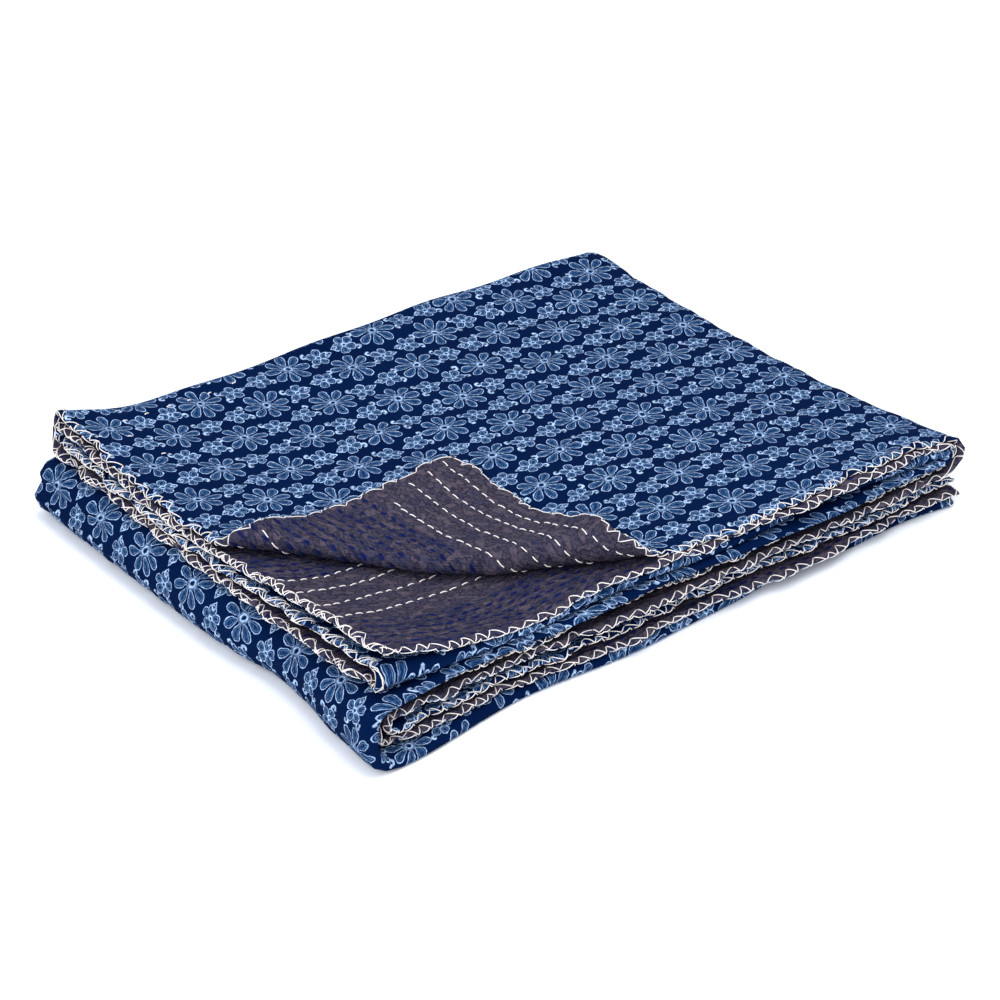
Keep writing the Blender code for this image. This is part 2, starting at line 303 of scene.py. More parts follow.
# %% Heights
HEIGHT_X = np.array([0, 45, 100, 160, 240, 340, 430]) * MM
HEIGHT_ROWS = (
    # y, then the height at each x
    (0, (90, 73, 59, 62, 57, 60, 53)),
    (50, (84, 64, 48, 51, 54, 55, 48)),
    (110, (76, 58, 45, 47, 51, 50, 44)),
    (170, (64, 57, 50, 48, 48, 47, 42)),
    (240, (62, 55, 49, 46, 44, 43, 40)),
    (300, (68, 57, 50, 47, 46, 43, 39)),
    (340, (73, 59, 53, 50, 50, 47, 42)),
)
LOWER_X = np.array([0, 100, 430]) * MM
LOWER_ROWS = (
    (0, (46.0, 45.5, 40.3)),
    (90, (40.0, 26.5, 30.0)),
    (170, (39.0, 29.0, 27.5)),
    (340, (39.5, 34.0, 27.0)),
)
FRONT_PLIES = np.array([0, 1, 2, 3, 4, 5, 6, 7, RIGHT_AXIS])
FRONT_LEVELS = np.array([0, 0.78, 1.72, 3.1, 4.7, 6.02, 6.6, 7.14, RIGHT_AXIS])
FRONT_REACH = 100 * MM


def pile_height(x, y, ply):
    """Height of a sheet's middle at (x, y), for a place counted in plies."""
    top = smooth_table(HEIGHT_X, HEIGHT_ROWS, x, y) - QUILT
    lower = smooth_table(LOWER_X, LOWER_ROWS, x, y)
    above = np.clip(ply - RIGHT_AXIS, 0.0, None) / (TOP_PLY - RIGHT_AXIS)
    below = np.clip(ply, None, RIGHT_AXIS)
    fanned = smooth_curve(FRONT_PLIES, FRONT_LEVELS[:, None], below)
    near_front = smooth_step(1 - y / FRONT_REACH)
    level = below + (fanned - below) * near_front
    return QUILT / 2 + lower * level / RIGHT_AXIS + (top - lower) * above


def ply_pitch(x, y):
    """Height of one ply in the lower part of the pile."""
    return smooth_table(LOWER_X, LOWER_ROWS, x, y) / RIGHT_AXIS


sample = np.array([0.2])
top_middle = pile_height(sample, sample, np.array([11.0])) / MM
print("middle of the top ply:", top_middle.round(1), "mm up")

# %% [markdown]
# ## Hems and folds
#
# Nobody folds a quilt with a ruler: each hem and each fold wanders a few millimetres from the
# straight line. A table gives those wanderings at places along the sheet, and a slow wave on
# top of it keeps them from looking ruled.

# %% Lines of the hems and folds
LINE_COLUMNS = ("first_hem", "second_hem", "front_fold", "back_fold")
LINE_ROWS = (
    # u, then how far each of the four lines is off
    (0, (0, 0, 1, 0)),
    (90, (0, -4, 1, 0)),
    (170, (0, 0, 2, 0)),
    (250, (-1, -3, 2, 1)),
    (425, (0, -1, 2, -1)),
    (451, (0, 2, 0, -1)),
    (560, (-3, 1, -2, 2)),
    (700, (-3, 2, 0, 2)),
    (871, (1, 2, -3, 1)),
    (901, (0, 2, -6, 2)),
    (1000, (1, 1, 4, 2)),
    (1100, (1, -3, 1, 2)),
    (1160, (1, -4, 4, 2)),
    (1210, (1, -4, 10, 1)),
    (1260, (1, -3, 7, 0)),
    (1337, (2, 0, 3, -2)),
)
WAVE_ROWS = (
    # height in mm, waves per run, turn at the start
    (1.5, 2.3, 0.4),
    (2.0, 2.9, 3.2),
    (1.2, 2.6, 1.9),
    (1.0, 1.1, 5.0),
)
HEM_STEP = 1.7 * MM


def leg_of(legs, where):
    """Which leg of the flat sheet a place is on, and how far along that leg it is."""
    ends = np.concatenate([[0.0], np.cumsum(legs)])
    return curve_weights(ends, where)


def line_place(name, u):
    """Y of a hem or fold line, at each place along the sheet."""
    column = LINE_COLUMNS.index(name)
    knots = np.array([row[0] for row in LINE_ROWS]) * MM
    offsets = np.array([[row[1][column]] for row in LINE_ROWS], float)
    height, waves, turn = WAVE_ROWS[column]
    wave = height * np.sin(2 * math.pi * waves * u / U_LEGS[0] + turn)
    return (smooth_curve(knots, offsets, u) + wave) * MM


front_line = line_place("first_hem", np.linspace(0, 0.4, 50))
print("front hem wanders by", (np.ptp(front_line) / MM).round(1), "mm")

# %% [markdown]
# ## Folding the sheet
#
# A fold is the same thing in both directions: the sheet runs out, goes round half an ellipse
# and runs back one or more plies higher or lower. So one function folds across the pile, into
# a pack of four plies, and the same function folds that pack in thirds along the pile.

# %% Back and forth
def back_and_forth(legs, where, turns, plies, pitches):
    """Place along the runs, and height in plies, of a sheet folded back and forth.

    Run k goes from turn k to turn k + 1 at the height of ply k.  The fold after it is half an
    ellipse, as high as the two plies that it joins are apart.
    """
    leg, share = leg_of(legs, where)
    run, in_fold = leg // 2, leg % 2 == 1
    here = np.choose(run, plies)
    after = np.choose(np.minimum(run + 1, len(plies) - 1), plies)
    pitch = np.choose(np.minimum(run, len(pitches) - 1), pitches)
    start, end = np.choose(run, turns[:-1]), np.choose(run, turns[1:])
    angle = math.pi * share
    outward = np.where(run % 2 == 0, 1.0, -1.0)
    depth = outward * np.abs(here - after) / 2 * pitch * np.sin(angle)
    place = np.where(in_fold, end + depth, start + (end - start) * share)
    ply = np.where(in_fold, (here + after) / 2 + (here - after) / 2 * np.cos(angle), here)
    return place, ply


def across_pack(u, v):
    """Y, and height in plies, of the sheet in the four-ply pack."""
    zero = np.zeros_like(u)
    back = BACK_FOLD_Y + line_place("back_fold", u)
    front = line_place("front_fold", u)
    turns = [line_place("first_hem", u), back, front, back, line_place("second_hem", u)]
    pitch = ply_pitch(zero + RIGHT_FOLD_X / 2, zero + BACK_FOLD_Y / 2)
    return back_and_forth(V_LEGS, v, turns, [zero + ply for ply in PACK_PLIES], [pitch])


def along_pile(u, y, height):
    """X, and height in plies, as the pack runs right, back left and right again."""
    zero = np.zeros_like(u)
    hem = LEFT_END - HEM_STEP * (PACK_TOP - height)
    turns = [hem, zero + RIGHT_FOLD_X, zero + LEFT_FOLD_X, zero + BOTTOM_END]
    top, middle = TOP_PLY - PACK_TOP + height, 2 * RIGHT_AXIS - TOP_PLY + PACK_TOP - height
    pitches = [ply_pitch(zero + RIGHT_FOLD_X, y), ply_pitch(zero + LEFT_FOLD_X, y)]
    return back_and_forth(U_LEGS, u, turns, [top, middle, height], pitches)


print("plies:", len(PACK_PLIES) * (len(U_LEGS) // 2 + 1))

# %% [markdown]
# ## The turned-back corner
#
# The corner of the top ply rolls over and lies on the pile with the backing up. A page curl
# does exactly this: cloth beyond a line goes round a half cylinder and then lies flat, upside
# down. The cylinder is a table here too, because the roll is tight in the middle and opens up
# like a horn towards the front hem.

# %% Page curl
TURN_ANGLE = math.radians(43.9)
TIP_DISTANCE = 255 * MM
FLAP_REST = QUILT + 2.0 * MM
FLAP_SETTLE = 70 * MM
ROLL_ROWS = (
    # t, the roll's radius, and how far the cloth is pulled in, all in mm
    (-125, (6.5, 38)),
    (-97, (6.5, 36)),
    (-70, (5.0, 26)),
    (-42, (4.0, 13)),
    (-14, (4.0, 4)),
    (14, (5.0, 0)),
    (50, (7.0, 0)),
    (90, (11.0, 0)),
    (134, (16.5, 0)),
)


def roll_curve(column, t):
    """A column of the roll's table, read at each place along the crease."""
    knots = np.array([row[0] for row in ROLL_ROWS]) * MM
    values = np.array([[row[1][column]] for row in ROLL_ROWS], float)
    return smooth_curve(knots, values, t) * MM


def roll_start(t):
    """S where the cloth begins to roll, so that the tip lands at its distance from the crease."""
    return (TIP_DISTANCE - roll_curve(1, t) + math.pi * roll_curve(0, t)) / 2


def to_corner_lines(x, y):
    """X and Y as distances along S and T; the same turn brings S and T back to X and Y."""
    along, beside = math.cos(TURN_ANGLE), math.sin(TURN_ANGLE)
    return along * x + beside * y, beside * x - along * y


def turn_corner(x, y):
    """Where the top ply's corner goes: new x and y, and the lift above the ply."""
    s, t = to_corner_lines(x, y)
    radius = roll_curve(0, t)
    past = roll_start(t) - s
    angle = np.clip(past / radius, 0.0, math.pi)
    flat = np.clip(past - math.pi * radius, 0.0, None)
    new_s = np.where(past > 0, roll_start(t) - radius * np.sin(angle) + flat, s)
    drop = (2 * radius - FLAP_REST) * smooth_step(flat / FLAP_SETTLE)
    lift = np.where(past > 0, radius * (1 - np.cos(angle)) - drop, 0.0)
    new_x, new_y = to_corner_lines(new_s, t)
    return new_x, new_y, lift


tip = np.array(turn_corner(np.array([0.0]), np.array([0.0])))
print("the corner lands at x, y and lift", (tip[:, 0] / MM).round(), "mm")

# %% [markdown]
# ## A point of the folded quilt
#
# The right side draws in a little towards the back, and the lower fold on the left swells
# there, pinched into two soft rolls. With that the whole fold is one function: it takes a
# place on the flat sheet and gives the middle of the quilt there. Its normal is worked out by
# stepping a hair along U and along V.

# %% The whole fold as one function
RIGHT_TAPER = 8 * MM
RIGHT_FADE = 200 * MM
DENT_DEPTH = 6.5 * MM
DENT_HEIGHT = 4.4
DENT_SPREAD = 1.1
DENT_FADE = 3
BULGE_BACK = 5 * MM
BULGE_FADE = 70 * MM
HOLLOW = 7 * MM
HOLLOW_AT = 92 * MM
HOLLOW_WIDTH = 42 * MM
HAIR = 0.05 * MM


def draw_in_sides(x, y, ply):
    """X with the right side drawn in, and the left fold swollen, dented and hollow."""
    near_right = smooth_step((x - RIGHT_FADE) / (RIGHT_FOLD_X - RIGHT_FADE))
    near_left = smooth_step((BULGE_FADE - x) / BULGE_FADE)
    to_back = smooth_step(y / BACK_FOLD_Y)
    low = smooth_step(RIGHT_AXIS - ply)
    dent = DENT_DEPTH * np.exp(-(((ply - DENT_HEIGHT) / DENT_SPREAD) ** 2))
    dent *= to_back**DENT_FADE
    hollow = HOLLOW * np.exp(-(((y - HOLLOW_AT) / HOLLOW_WIDTH) ** 2))
    left_shift = near_left * low * (dent + hollow - BULGE_BACK * to_back)
    return x + left_shift - near_right * RIGHT_TAPER * smooth_step(y / RIGHT_FADE)


def sheet_place(u, v):
    """The middle of the folded quilt, for places (u, v) on the flat sheet."""
    y, height = across_pack(u, v)
    x, ply = along_pile(u, y, height)
    x = draw_in_sides(x, y, ply)
    on_corner = (leg_of(U_LEGS, u)[0] == 0) & (leg_of(V_LEGS, v)[0] == 0)
    turned_x, turned_y, lift = turn_corner(x, y)
    x = np.where(on_corner, turned_x, x)
    y = np.where(on_corner, turned_y, y)
    z = pile_height(x, y, ply) + np.where(on_corner, lift, 0.0)
    return np.stack([x, y, z], axis=1)


def along_and_across(u, v):
    """The folded quilt's directions along U and along V, as unit vectors."""
    ahead_u, behind_u = np.minimum(u + HAIR, FLAT_U), np.maximum(u - HAIR, 0.0)
    ahead_v, behind_v = np.minimum(v + HAIR, FLAT_V), np.maximum(v - HAIR, 0.0)
    along = sheet_place(ahead_u, v) - sheet_place(behind_u, v)
    across = sheet_place(u, ahead_v) - sheet_place(u, behind_v)
    along /= np.linalg.norm(along, axis=1, keepdims=True)
    across /= np.linalg.norm(across, axis=1, keepdims=True)
    return along, across


corner = sheet_place(np.array([FLAT_U]), np.array([0.0]))
print("the far corner of the sheet lies at", (corner / MM).round(1), "mm")

# %% [markdown]
# ## Ripples
#
# Quilting shortens the cloth a little along every row of stitches, so the surface between the
# rows rises in low waves, longer along the rows than across them. Near a hem the tight whip
# stitches gather it more. A handful of sine waves with mixed directions gives such a surface,
# is the same on each run, and moves both cloths and the thread together.

# %% Low waves in the cloth
RIPPLE_SEED = 11
RIPPLES, HEM_RIPPLES, HEM_SWAYS = 14, 8, 5
# the shortest and the longest waves, in mm
ALONG_WAVES, ACROSS_WAVES = (70, 220), (17, 60)
HEM_WAVES, SWAY_WAVES = (20, 70), (26, 90)
RIPPLE_HEIGHT = 0.34 * MM
HEM_RIPPLE = 0.5 * MM
HEM_REACH = 11 * MM
HEM_LIFT = 1.6 * MM
HEM_SWAY = 0.9 * MM
TOP_GAIN = 1.6

ripple_random = np.random.default_rng(RIPPLE_SEED)
ripple_waves = [
    (
        1 / (ripple_random.uniform(*ALONG_WAVES) * MM),
        ripple_random.choice([-1, 1]) / (ripple_random.uniform(*ACROSS_WAVES) * MM),
        ripple_random.uniform(0, 2 * math.pi),
    )
    for _ in range(RIPPLES)
]
hem_waves = [
    (1 / (ripple_random.uniform(*HEM_WAVES) * MM), ripple_random.uniform(0, 2 * math.pi))
    for _ in range(HEM_RIPPLES)
]
sway_waves = [
    (1 / (ripple_random.uniform(*SWAY_WAVES) * MM), ripple_random.uniform(0, 2 * math.pi))
    for _ in range(HEM_SWAYS)
]


def hem_distance(u, v):
    """Distance on the flat sheet to the nearest hem."""
    return np.minimum(np.minimum(u, FLAT_U - u), np.minimum(v, FLAT_V - v))


def ripple(u, v):
    """How far the quilt stands off its smooth shape, along its normal."""
    waves = sum(
        np.sin(2 * math.pi * (u * per_u + v * per_v) + turn)
        for per_u, per_v, turn in ripple_waves
    ) / math.sqrt(RIPPLES / 2)
    gathers = sum(
        np.sin(2 * math.pi * (u - v) * per_length + turn) for per_length, turn in hem_waves
    ) / math.sqrt(HEM_RIPPLES / 2)
    on_top = (u < U_LEGS[0]) & (v < V_LEGS[0])
    gain = np.where(on_top, TOP_GAIN, 1.0)
    near_hem = np.exp(-hem_distance(u, v) / HEM_REACH)
    return RIPPLE_HEIGHT * gain * waves + HEM_RIPPLE * near_hem * gathers


def hem_sway(u, v):
    """How far the hem wanders out of line, within the cloth's own plane."""
    waves = sum(
        np.sin(2 * math.pi * (u - v) * per_length + turn) for per_length, turn in sway_waves
    ) / math.sqrt(HEM_SWAYS / 2)
    return HEM_SWAY * np.exp(-hem_distance(u, v) / HEM_REACH) * waves


def rippled_place(u, v):
    """The middle of the rippled quilt, its directions along U and V, and its normal."""
    along, across = along_and_across(u, v)
    normal = np.cross(along, across)
    normal /= np.linalg.norm(normal, axis=1, keepdims=True)
    middle = sheet_place(u, v) + normal * ripple(u, v)[:, None]
    side_hem = np.minimum(u, FLAT_U - u) < np.minimum(v, FLAT_V - v)
    middle += np.where(side_hem[:, None], along, across) * hem_sway(u, v)[:, None]
    lowest = QUILT / 2 + HEM_LIFT * np.exp(-hem_distance(u, v) / HEM_REACH)
    middle[:, 2] = np.maximum(middle[:, 2], lowest)
    return middle, along, across, normal


def quilt_point(u, v, height):
    """A point of the rippled quilt, at a height above its middle on the printed side."""
    middle, _, _, normal = rippled_place(u, v)
    return middle + normal * height[:, None]


probe_u, probe_v = np.linspace(0, FLAT_U, 500), np.linspace(0, FLAT_V, 500)
print("ripples reach", (np.abs(ripple(probe_u, probe_v)).max() / MM).round(2), "mm")

# %% [markdown]
# ## Cutting the grid
#
# The flat sheet is a grid that is only as fine as what shows: 4 to 5 mm on the top ply,
# finer round the folds and the hems, coarser inside the pile. Its corner is also cut along
# the roll, so that the tight part of the roll bends smoothly.

# %% Flat grid
HEM_BANDS = ((0.0, 1.2, 0.4), (1.2, 3.0, 0.9))
PRINTED_U = ((3, 425, 5), (425, 451, 4.4), (451, 871, 8), (871, 901, 4.3), (901, 1334, 8))
PRINTED_V = (
    (3, 336, 3.6),
    (336, 356, 3.3),
    (356, 692, 9),
    (692, 699, 2.3),
    (699, 1035, 10),
    (1035, 1042, 2.3),
    (1042, 1375, 9),
)
BACKING_U = (
    (3, 210, 3.6),
    (210, 425, 8),
    (425, 451, 4.4),
    (451, 871, 8),
    (871, 901, 4.3),
    (901, 1334, 8),
)
BACKING_V = (
    (3, 190, 3.6),
    (190, 336, 10),
    (336, 356, 3.3),
    (356, 692, 10),
    (692, 699, 2.3),
    (699, 1035, 10),
    (1035, 1042, 2.3),
    (1042, 1210, 10),
    (1210, 1375, 3.6),
)
CURL_CUTS = 12
CURL_STRETCHES = ((-150 * MM, -14 * MM), (-14 * MM, 200 * MM))
CURL_SNAP = 0.2 * MM
FOLD_ROWS = 110
FOLD_SAMPLES = 24


def grid_lines(bands, length):
    """Places of the grid lines: the hem's own, then one set for each band."""
    ends = [(length / MM - end, length / MM - start, step) for start, end, step in HEM_BANDS]
    lines = []
    for start, end, step in (*HEM_BANDS, *bands, *reversed(ends)):
        count = max(1, round((end - start) / step))
        lines += [start + (end - start) * number / count for number in range(count)]
    return [line * MM for line in lines] + [length]


def cut_curl_lines(flat):
    """Cut the flat sheet's corner along the roll, so that it can bend there."""
    angles = [math.pi * step / (CURL_CUTS - 1) for step in range(CURL_CUTS)]
    for angle, (first, last) in itertools.product(angles, CURL_STRETCHES):
        t = np.array([first, last])
        ends_x, ends_y = to_corner_lines(roll_start(t) - angle * roll_curve(0, t), t)
        across = Vector((ends_y[0] - ends_y[1], ends_x[1] - ends_x[0], 0.0))
        stretch = []
        for face in flat.faces:
            centre = face.calc_center_median()
            beside = to_corner_lines(centre.x, centre.y)[1]
            if centre.x < U_LEGS[0] and centre.y < V_LEGS[0] and first <= beside <= last:
                stretch.append(face)
        edges = dict.fromkeys(edge for face in stretch for edge in face.edges)
        verts = dict.fromkeys(vert for face in stretch for vert in face.verts)
        bmesh.ops.bisect_plane(
            flat,
            geom=[*verts, *edges, *stretch],
            dist=CURL_SNAP,
            plane_co=(ends_x[0], ends_y[0], 0.0),
            plane_no=across.normalized(),
        )


def flat_sheet(bands_u, bands_v):
    """The quilt laid out flat, as a mesh of quads and cut quads."""
    lines_u, lines_v = grid_lines(bands_u, FLAT_U), grid_lines(bands_v, FLAT_V)
    flat = bmesh.new()
    bmesh.ops.create_grid(
        flat, x_segments=len(lines_u) - 1, y_segments=len(lines_v) - 1, size=0.5
    )
    for vert in flat.verts:
        column = round((vert.co.x + 0.5) * (len(lines_u) - 1))
        row = round((vert.co.y + 0.5) * (len(lines_v) - 1))
        vert.co = (lines_u[column], lines_v[row], 0.0)
    cut_curl_lines(flat)
    return flat


def printed_u(u, v):
    """U by the cloth's own length: the puffed side folds take up more of it."""
    result = u.copy()
    rows = np.linspace(0.0, FLAT_V, FOLD_ROWS + 1)
    for fold in (1, 3):
        start, flat_length = U_LEGS[:fold].sum(), U_LEGS[fold]
        places = start + flat_length * np.linspace(0.0, 1.0, FOLD_SAMPLES + 1)
        grid_u, grid_v = np.meshgrid(places, rows)
        points = sheet_place(grid_u.ravel(), grid_v.ravel()).reshape(*grid_u.shape, 3)
        steps = np.linalg.norm(np.diff(points, axis=1), axis=2)
        extra = np.cumsum(steps, axis=1) - (places[1:] - start)
        extra = np.concatenate([np.zeros((len(rows), 1)), extra], axis=1)
        row, row_share = curve_weights(rows, v)
        column, column_share = curve_weights(places, u)
        low = extra[row, column] * (1 - column_share) + extra[row, column + 1] * column_share
        high = extra[row + 1, column] * (1 - column_share)
        high = high + extra[row + 1, column + 1] * column_share
        result += low * (1 - row_share) + high * row_share
    return result


print("grid lines along U:", len(grid_lines(PRINTED_U, FLAT_U)))
print("grid lines along V:", len(grid_lines(PRINTED_V, FLAT_V)))

# %% [markdown]
# ## Making a cloth
#
# Each cloth is the flat grid, thickened and carried through the fold. At the hem both cloths
# are turned in and whipped together, which makes a round bead nearly twice as thick.
# Only the hem at the bottom of the pile is pressed thinner. The flat place of every point is
# kept as a UV map, so that dye and weave follow the cloth round its folds, at their real size.

# %% Thickened and folded
HEM_ROUND = 3.0 * MM
HEM_FULLNESS = 0.8
HEM_EDGE = 0.2 * MM
HEM_PUFF = 0.85 * MM
HEM_PUFF_WIDTH = 6.5 * MM
PRESSED_SHARE = 0.7
PRESSED_WIDTH = 20 * MM
SMOOTH_ANGLE = math.radians(60)


def cloth_outside(u, v):
    """Distance from the middle of the quilt to its outer surface."""
    edge = hem_distance(u, v)
    pressed = PRESSED_SHARE * np.exp(-(((FLAT_U - u) / PRESSED_WIDTH) ** 2))
    puff = HEM_PUFF * np.exp(-((edge / HEM_PUFF_WIDTH) ** 2)) * (1 - pressed)
    outwards = 1 - np.clip(edge / HEM_ROUND, 0.0, 1.0)
    rounded = (1 - outwards**2) ** HEM_FULLNESS
    return CLOTH_GAP / 2 + HEM_EDGE + (CLOTH + puff - HEM_EDGE) * rounded


def make_cloth(name, side, bands_u, bands_v):
    """One cloth of the quilt; side is 1 for the printed one and -1 for the backing."""
    flat = flat_sheet(bands_u, bands_v)
    extruded = bmesh.ops.extrude_face_region(flat, geom=flat.faces[:])
    outer = {item for item in extruded["geom"] if isinstance(item, bmesh.types.BMVert)}
    verts = list(flat.verts)
    u = np.array([vert.co.x for vert in verts])
    v = np.array([vert.co.y for vert in verts])
    is_outer = np.array([vert in outer for vert in verts])
    height = side * np.where(is_outer, cloth_outside(u, v), CLOTH_GAP / 2)
    flat.verts.index_update()
    length_u = printed_u(u, v)
    flat_place = flat.loops.layers.uv.new("flat_cloth")
    for face in flat.faces:
        for loop in face.loops:
            loop[flat_place].uv = (length_u[loop.vert.index], loop.vert.co.y)
    for vert, place in zip(verts, quilt_point(u, v, height)):
        vert.co = Vector(place) - CENTRE
    bmesh.ops.recalc_face_normals(flat, faces=flat.faces[:])
    if flat.calc_volume(signed=True) < 0:
        bmesh.ops.reverse_faces(flat, faces=flat.faces[:])
    mesh = bpy.data.meshes.new(name)
    flat.to_mesh(mesh)
    flat.free()
    mesh.shade_smooth()
    mesh.set_sharp_from_angle(angle=SMOOTH_ANGLE)
    cloth = add_object(name, mesh)
    print(name, "has", sum(len(face.vertices) - 2 for face in mesh.polygons), "triangles")
    return cloth


printed_cloth = make_cloth("printed_cloth", 1, PRINTED_U, PRINTED_V)
brown_backing = make_cloth("brown_backing", -1, BACKING_U, BACKING_V)

# %% [markdown]
# ## Indigo block print
#
# The printed cloth is a fine plain-weave cotton, resist-printed with a carved wooden block and
# dipped in indigo. Wherever the block left its paste the dye stays pale: thin light outlines,
# petals of a middle blue, and the deep navy of the full dip between them. A hand-held block
# never lands quite straight and its paste is uneven, so lines swell, fade and wander.
#
# The print repeats on a slanted lattice. A place on the cloth is first brought back to its own
# repeat, and then a ring of petals is one petal, folded round the middle by its angle.

# %% Lattice of the print
REPEAT_A = Vector((35.9, -20.9, 0.0))
REPEAT_B = Vector((-34.7, -25.9, 0.0))
REPEAT_START = Vector((93.0, 271.0, 0.0))
REPEAT_AREA = REPEAT_A.x * REPEAT_B.y - REPEAT_A.y * REPEAT_B.x
COUNT_A = Vector((REPEAT_B.y, -REPEAT_B.x, 0.0)) / REPEAT_AREA
COUNT_B = Vector((-REPEAT_A.y, REPEAT_A.x, 0.0)) / REPEAT_AREA
TILT_SPREAD = 0.16


def in_repeat(tree, place, offset, tilt):
    """A place measured from the nearest motif, each turned a little by its own chance."""
    start = node(tree, "VectorMath", [place, REPEAT_START + Vector(offset)], operation="SUBTRACT")
    steps = []
    for count in (COUNT_A, COUNT_B):
        share = node(tree, "VectorMath", [start, count], 1, operation="DOT_PRODUCT")
        steps.append(node(tree, "Math", [share], operation="ROUND"))
    local = start
    for step, repeat in zip(steps, (REPEAT_A, REPEAT_B)):
        shift = node(tree, "VectorMath", {0: repeat, "Scale": step}, operation="SCALE")
        local = node(tree, "VectorMath", [local, shift], operation="SUBTRACT")
    cell = node(tree, "CombineXYZ", steps)
    chance = node(tree, "TexWhiteNoise", {"Vector": cell}, noise_dimensions="3D")
    angle = node(
        tree,
        "MapRange",
        {"Value": chance, "To Min": tilt - TILT_SPREAD, "To Max": tilt + TILT_SPREAD},
    )
    return node(tree, "VectorRotate", {"Vector": local, "Angle": angle}, rotation_type="Z_AXIS")


print("one repeat is", round(abs(REPEAT_AREA)), "square mm")

# %% Petals, rings and lines
PETAL_TAPER = 0.42
LINE_CORE, LINE_REACH = 0.75, 1.2


def petal_ring(tree, place, count, middle, half_length, half_width):
    """Distance in mm from the outline of the nearest petal, less than 0 inside it."""
    side, up, _ = node(tree, "SeparateXYZ", [place]).node.outputs
    radius = node(tree, "VectorMath", [place], 1, operation="LENGTH")
    angle = node(tree, "Math", [up, side], operation="ARCTAN2")
    half_sector = math.pi / count
    angle = node(tree, "Math", [angle, half_sector, -half_sector], operation="WRAP")
    cosine = node(tree, "Math", [angle], operation="COSINE")
    sine = node(tree, "Math", [angle], operation="SINE")
    outward = node(tree, "Math", [radius, cosine], operation="MULTIPLY")
    sideways = node(tree, "Math", [radius, sine], operation="MULTIPLY")
    share = node(
        tree, "Math", [outward, 1 / half_length, -middle / half_length], operation="MULTIPLY_ADD"
    )
    width = node(
        tree, "Math", [share, half_width * PETAL_TAPER, half_width], operation="MULTIPLY_ADD"
    )
    slimness = node(tree, "Math", [sideways, width], operation="DIVIDE")
    both = node(tree, "CombineXYZ", [share, slimness])
    out = node(tree, "VectorMath", [both], 1, operation="LENGTH")
    steepness = (1 / half_length, 1 / half_width, 0.0)
    steep = node(tree, "VectorMath", [both, steepness], operation="MULTIPLY")
    steep = node(tree, "VectorMath", [steep], 1, operation="LENGTH")
    size = node(tree, "Math", [out, steep], operation="DIVIDE")
    return node(tree, "Math", [node(tree, "Math", [out, -1.0]), size], operation="MULTIPLY")


def line_at(tree, value, at, half_width):
    """1 where a value is close to a number, falling to 0 beside it."""
    away = node(tree, "Math", [value, at], operation="SUBTRACT")
    away = node(tree, "Math", [away], operation="ABSOLUTE")
    return node(
        tree,
        "MapRange",
        {"Value": away, "From Min": half_width * LINE_CORE, "From Max": half_width * LINE_REACH,
         "To Min": 1.0, "To Max": 0.0},
    )


def inside(tree, value, edge, softness):
    """1 where a value is under an edge, falling softly to 0 over it."""
    return node(
        tree,
        "MapRange",
        {"Value": value, "From Min": edge - softness, "From Max": edge,
         "To Min": 1.0, "To Max": 0.0},
    )


def strongest(tree, values):
    """The largest of several masks."""
    result = values[0]
    for value in values[1:]:
        result = node(tree, "Math", [result, value], operation="MAXIMUM")
    return result


def dyed(tree, ground, *dyes):
    """A ground colour with dyes laid over it in turn; each is a pair of share and colour."""
    for share, dye in dyes:
        under, over = (linear(c) if isinstance(c, str) else c for c in (ground, dye))
        ground = node(tree, "Mix", {0: share, 6: under, 7: over}, 2, data_type="RGBA")
    return ground


print("a line is full over", LINE_CORE, "of its half width and gone at", LINE_REACH)

# %% [markdown]
# The block has two kinds of flower. The daisy has eight petals, each a light teardrop outline
# round a blue fill with a fainter teardrop inside, and a ring with a dark eye in the middle.
# Between the daisies sit two small five-petalled sprigs with a pointed leaf and two hooks. They
# are the same sprig, turned half round, so that their leaves point at each other.

# %% Daisies and sprigs
# Petals: how many, their middle, half length and half width. Lines: their place and half
# width. Fills: their edge and softness. All lengths are in mm.
DAISY_PETALS, SPRIG_PETALS = (8, 9.6, 5.6, 2.9), (5, 4.4, 3.5, 2.85)
OUTLINE, INNER_LINE = (-0.22, 0.24), (-1.5, 0.25)
PETAL_FILL = (0.0, 0.2)
DAISY_RING, DAISY_EYE, DAISY_COLLAR, DAISY_HEART = (2.3, 0.42), (1.5, 0.5), (4.8, 1.6), (5.0, 1.2)
SPRIG_RING, SPRIG_HEART = (1.6, 0.35), (3.2, 0.8)
LEAF_MIDDLE, LEAF_SLOPES = (7.5, -0.3, 0.0), (0.33, 0.45, 0.0)
LEAF_LINE, LEAF_FILL = (0.82, 0.17), (0.9, 0.2)
HOOKS = ((-7.6, 5.4, 0.0), (-7.2, -6.2, 0.0))
HOOK_LINE, HOOK_OPENING = (1.6, 0.75), (1.3, 0.8)
FAINT_IN_DAISY, FAINT_IN_SPRIG, COLLAR_SHARE = 0.22, 0.3, 0.32


def hook(tree, place, middle):
    """A curl round a point, open towards the flower."""
    around = node(tree, "VectorMath", [place, middle], operation="SUBTRACT")
    radius = node(tree, "VectorMath", [around], 1, operation="LENGTH")
    side, _, _ = node(tree, "SeparateXYZ", [around]).node.outputs
    curl, opening = line_at(tree, radius, *HOOK_LINE), inside(tree, side, *HOOK_OPENING)
    return node(tree, "Math", [curl, opening], operation="MULTIPLY")


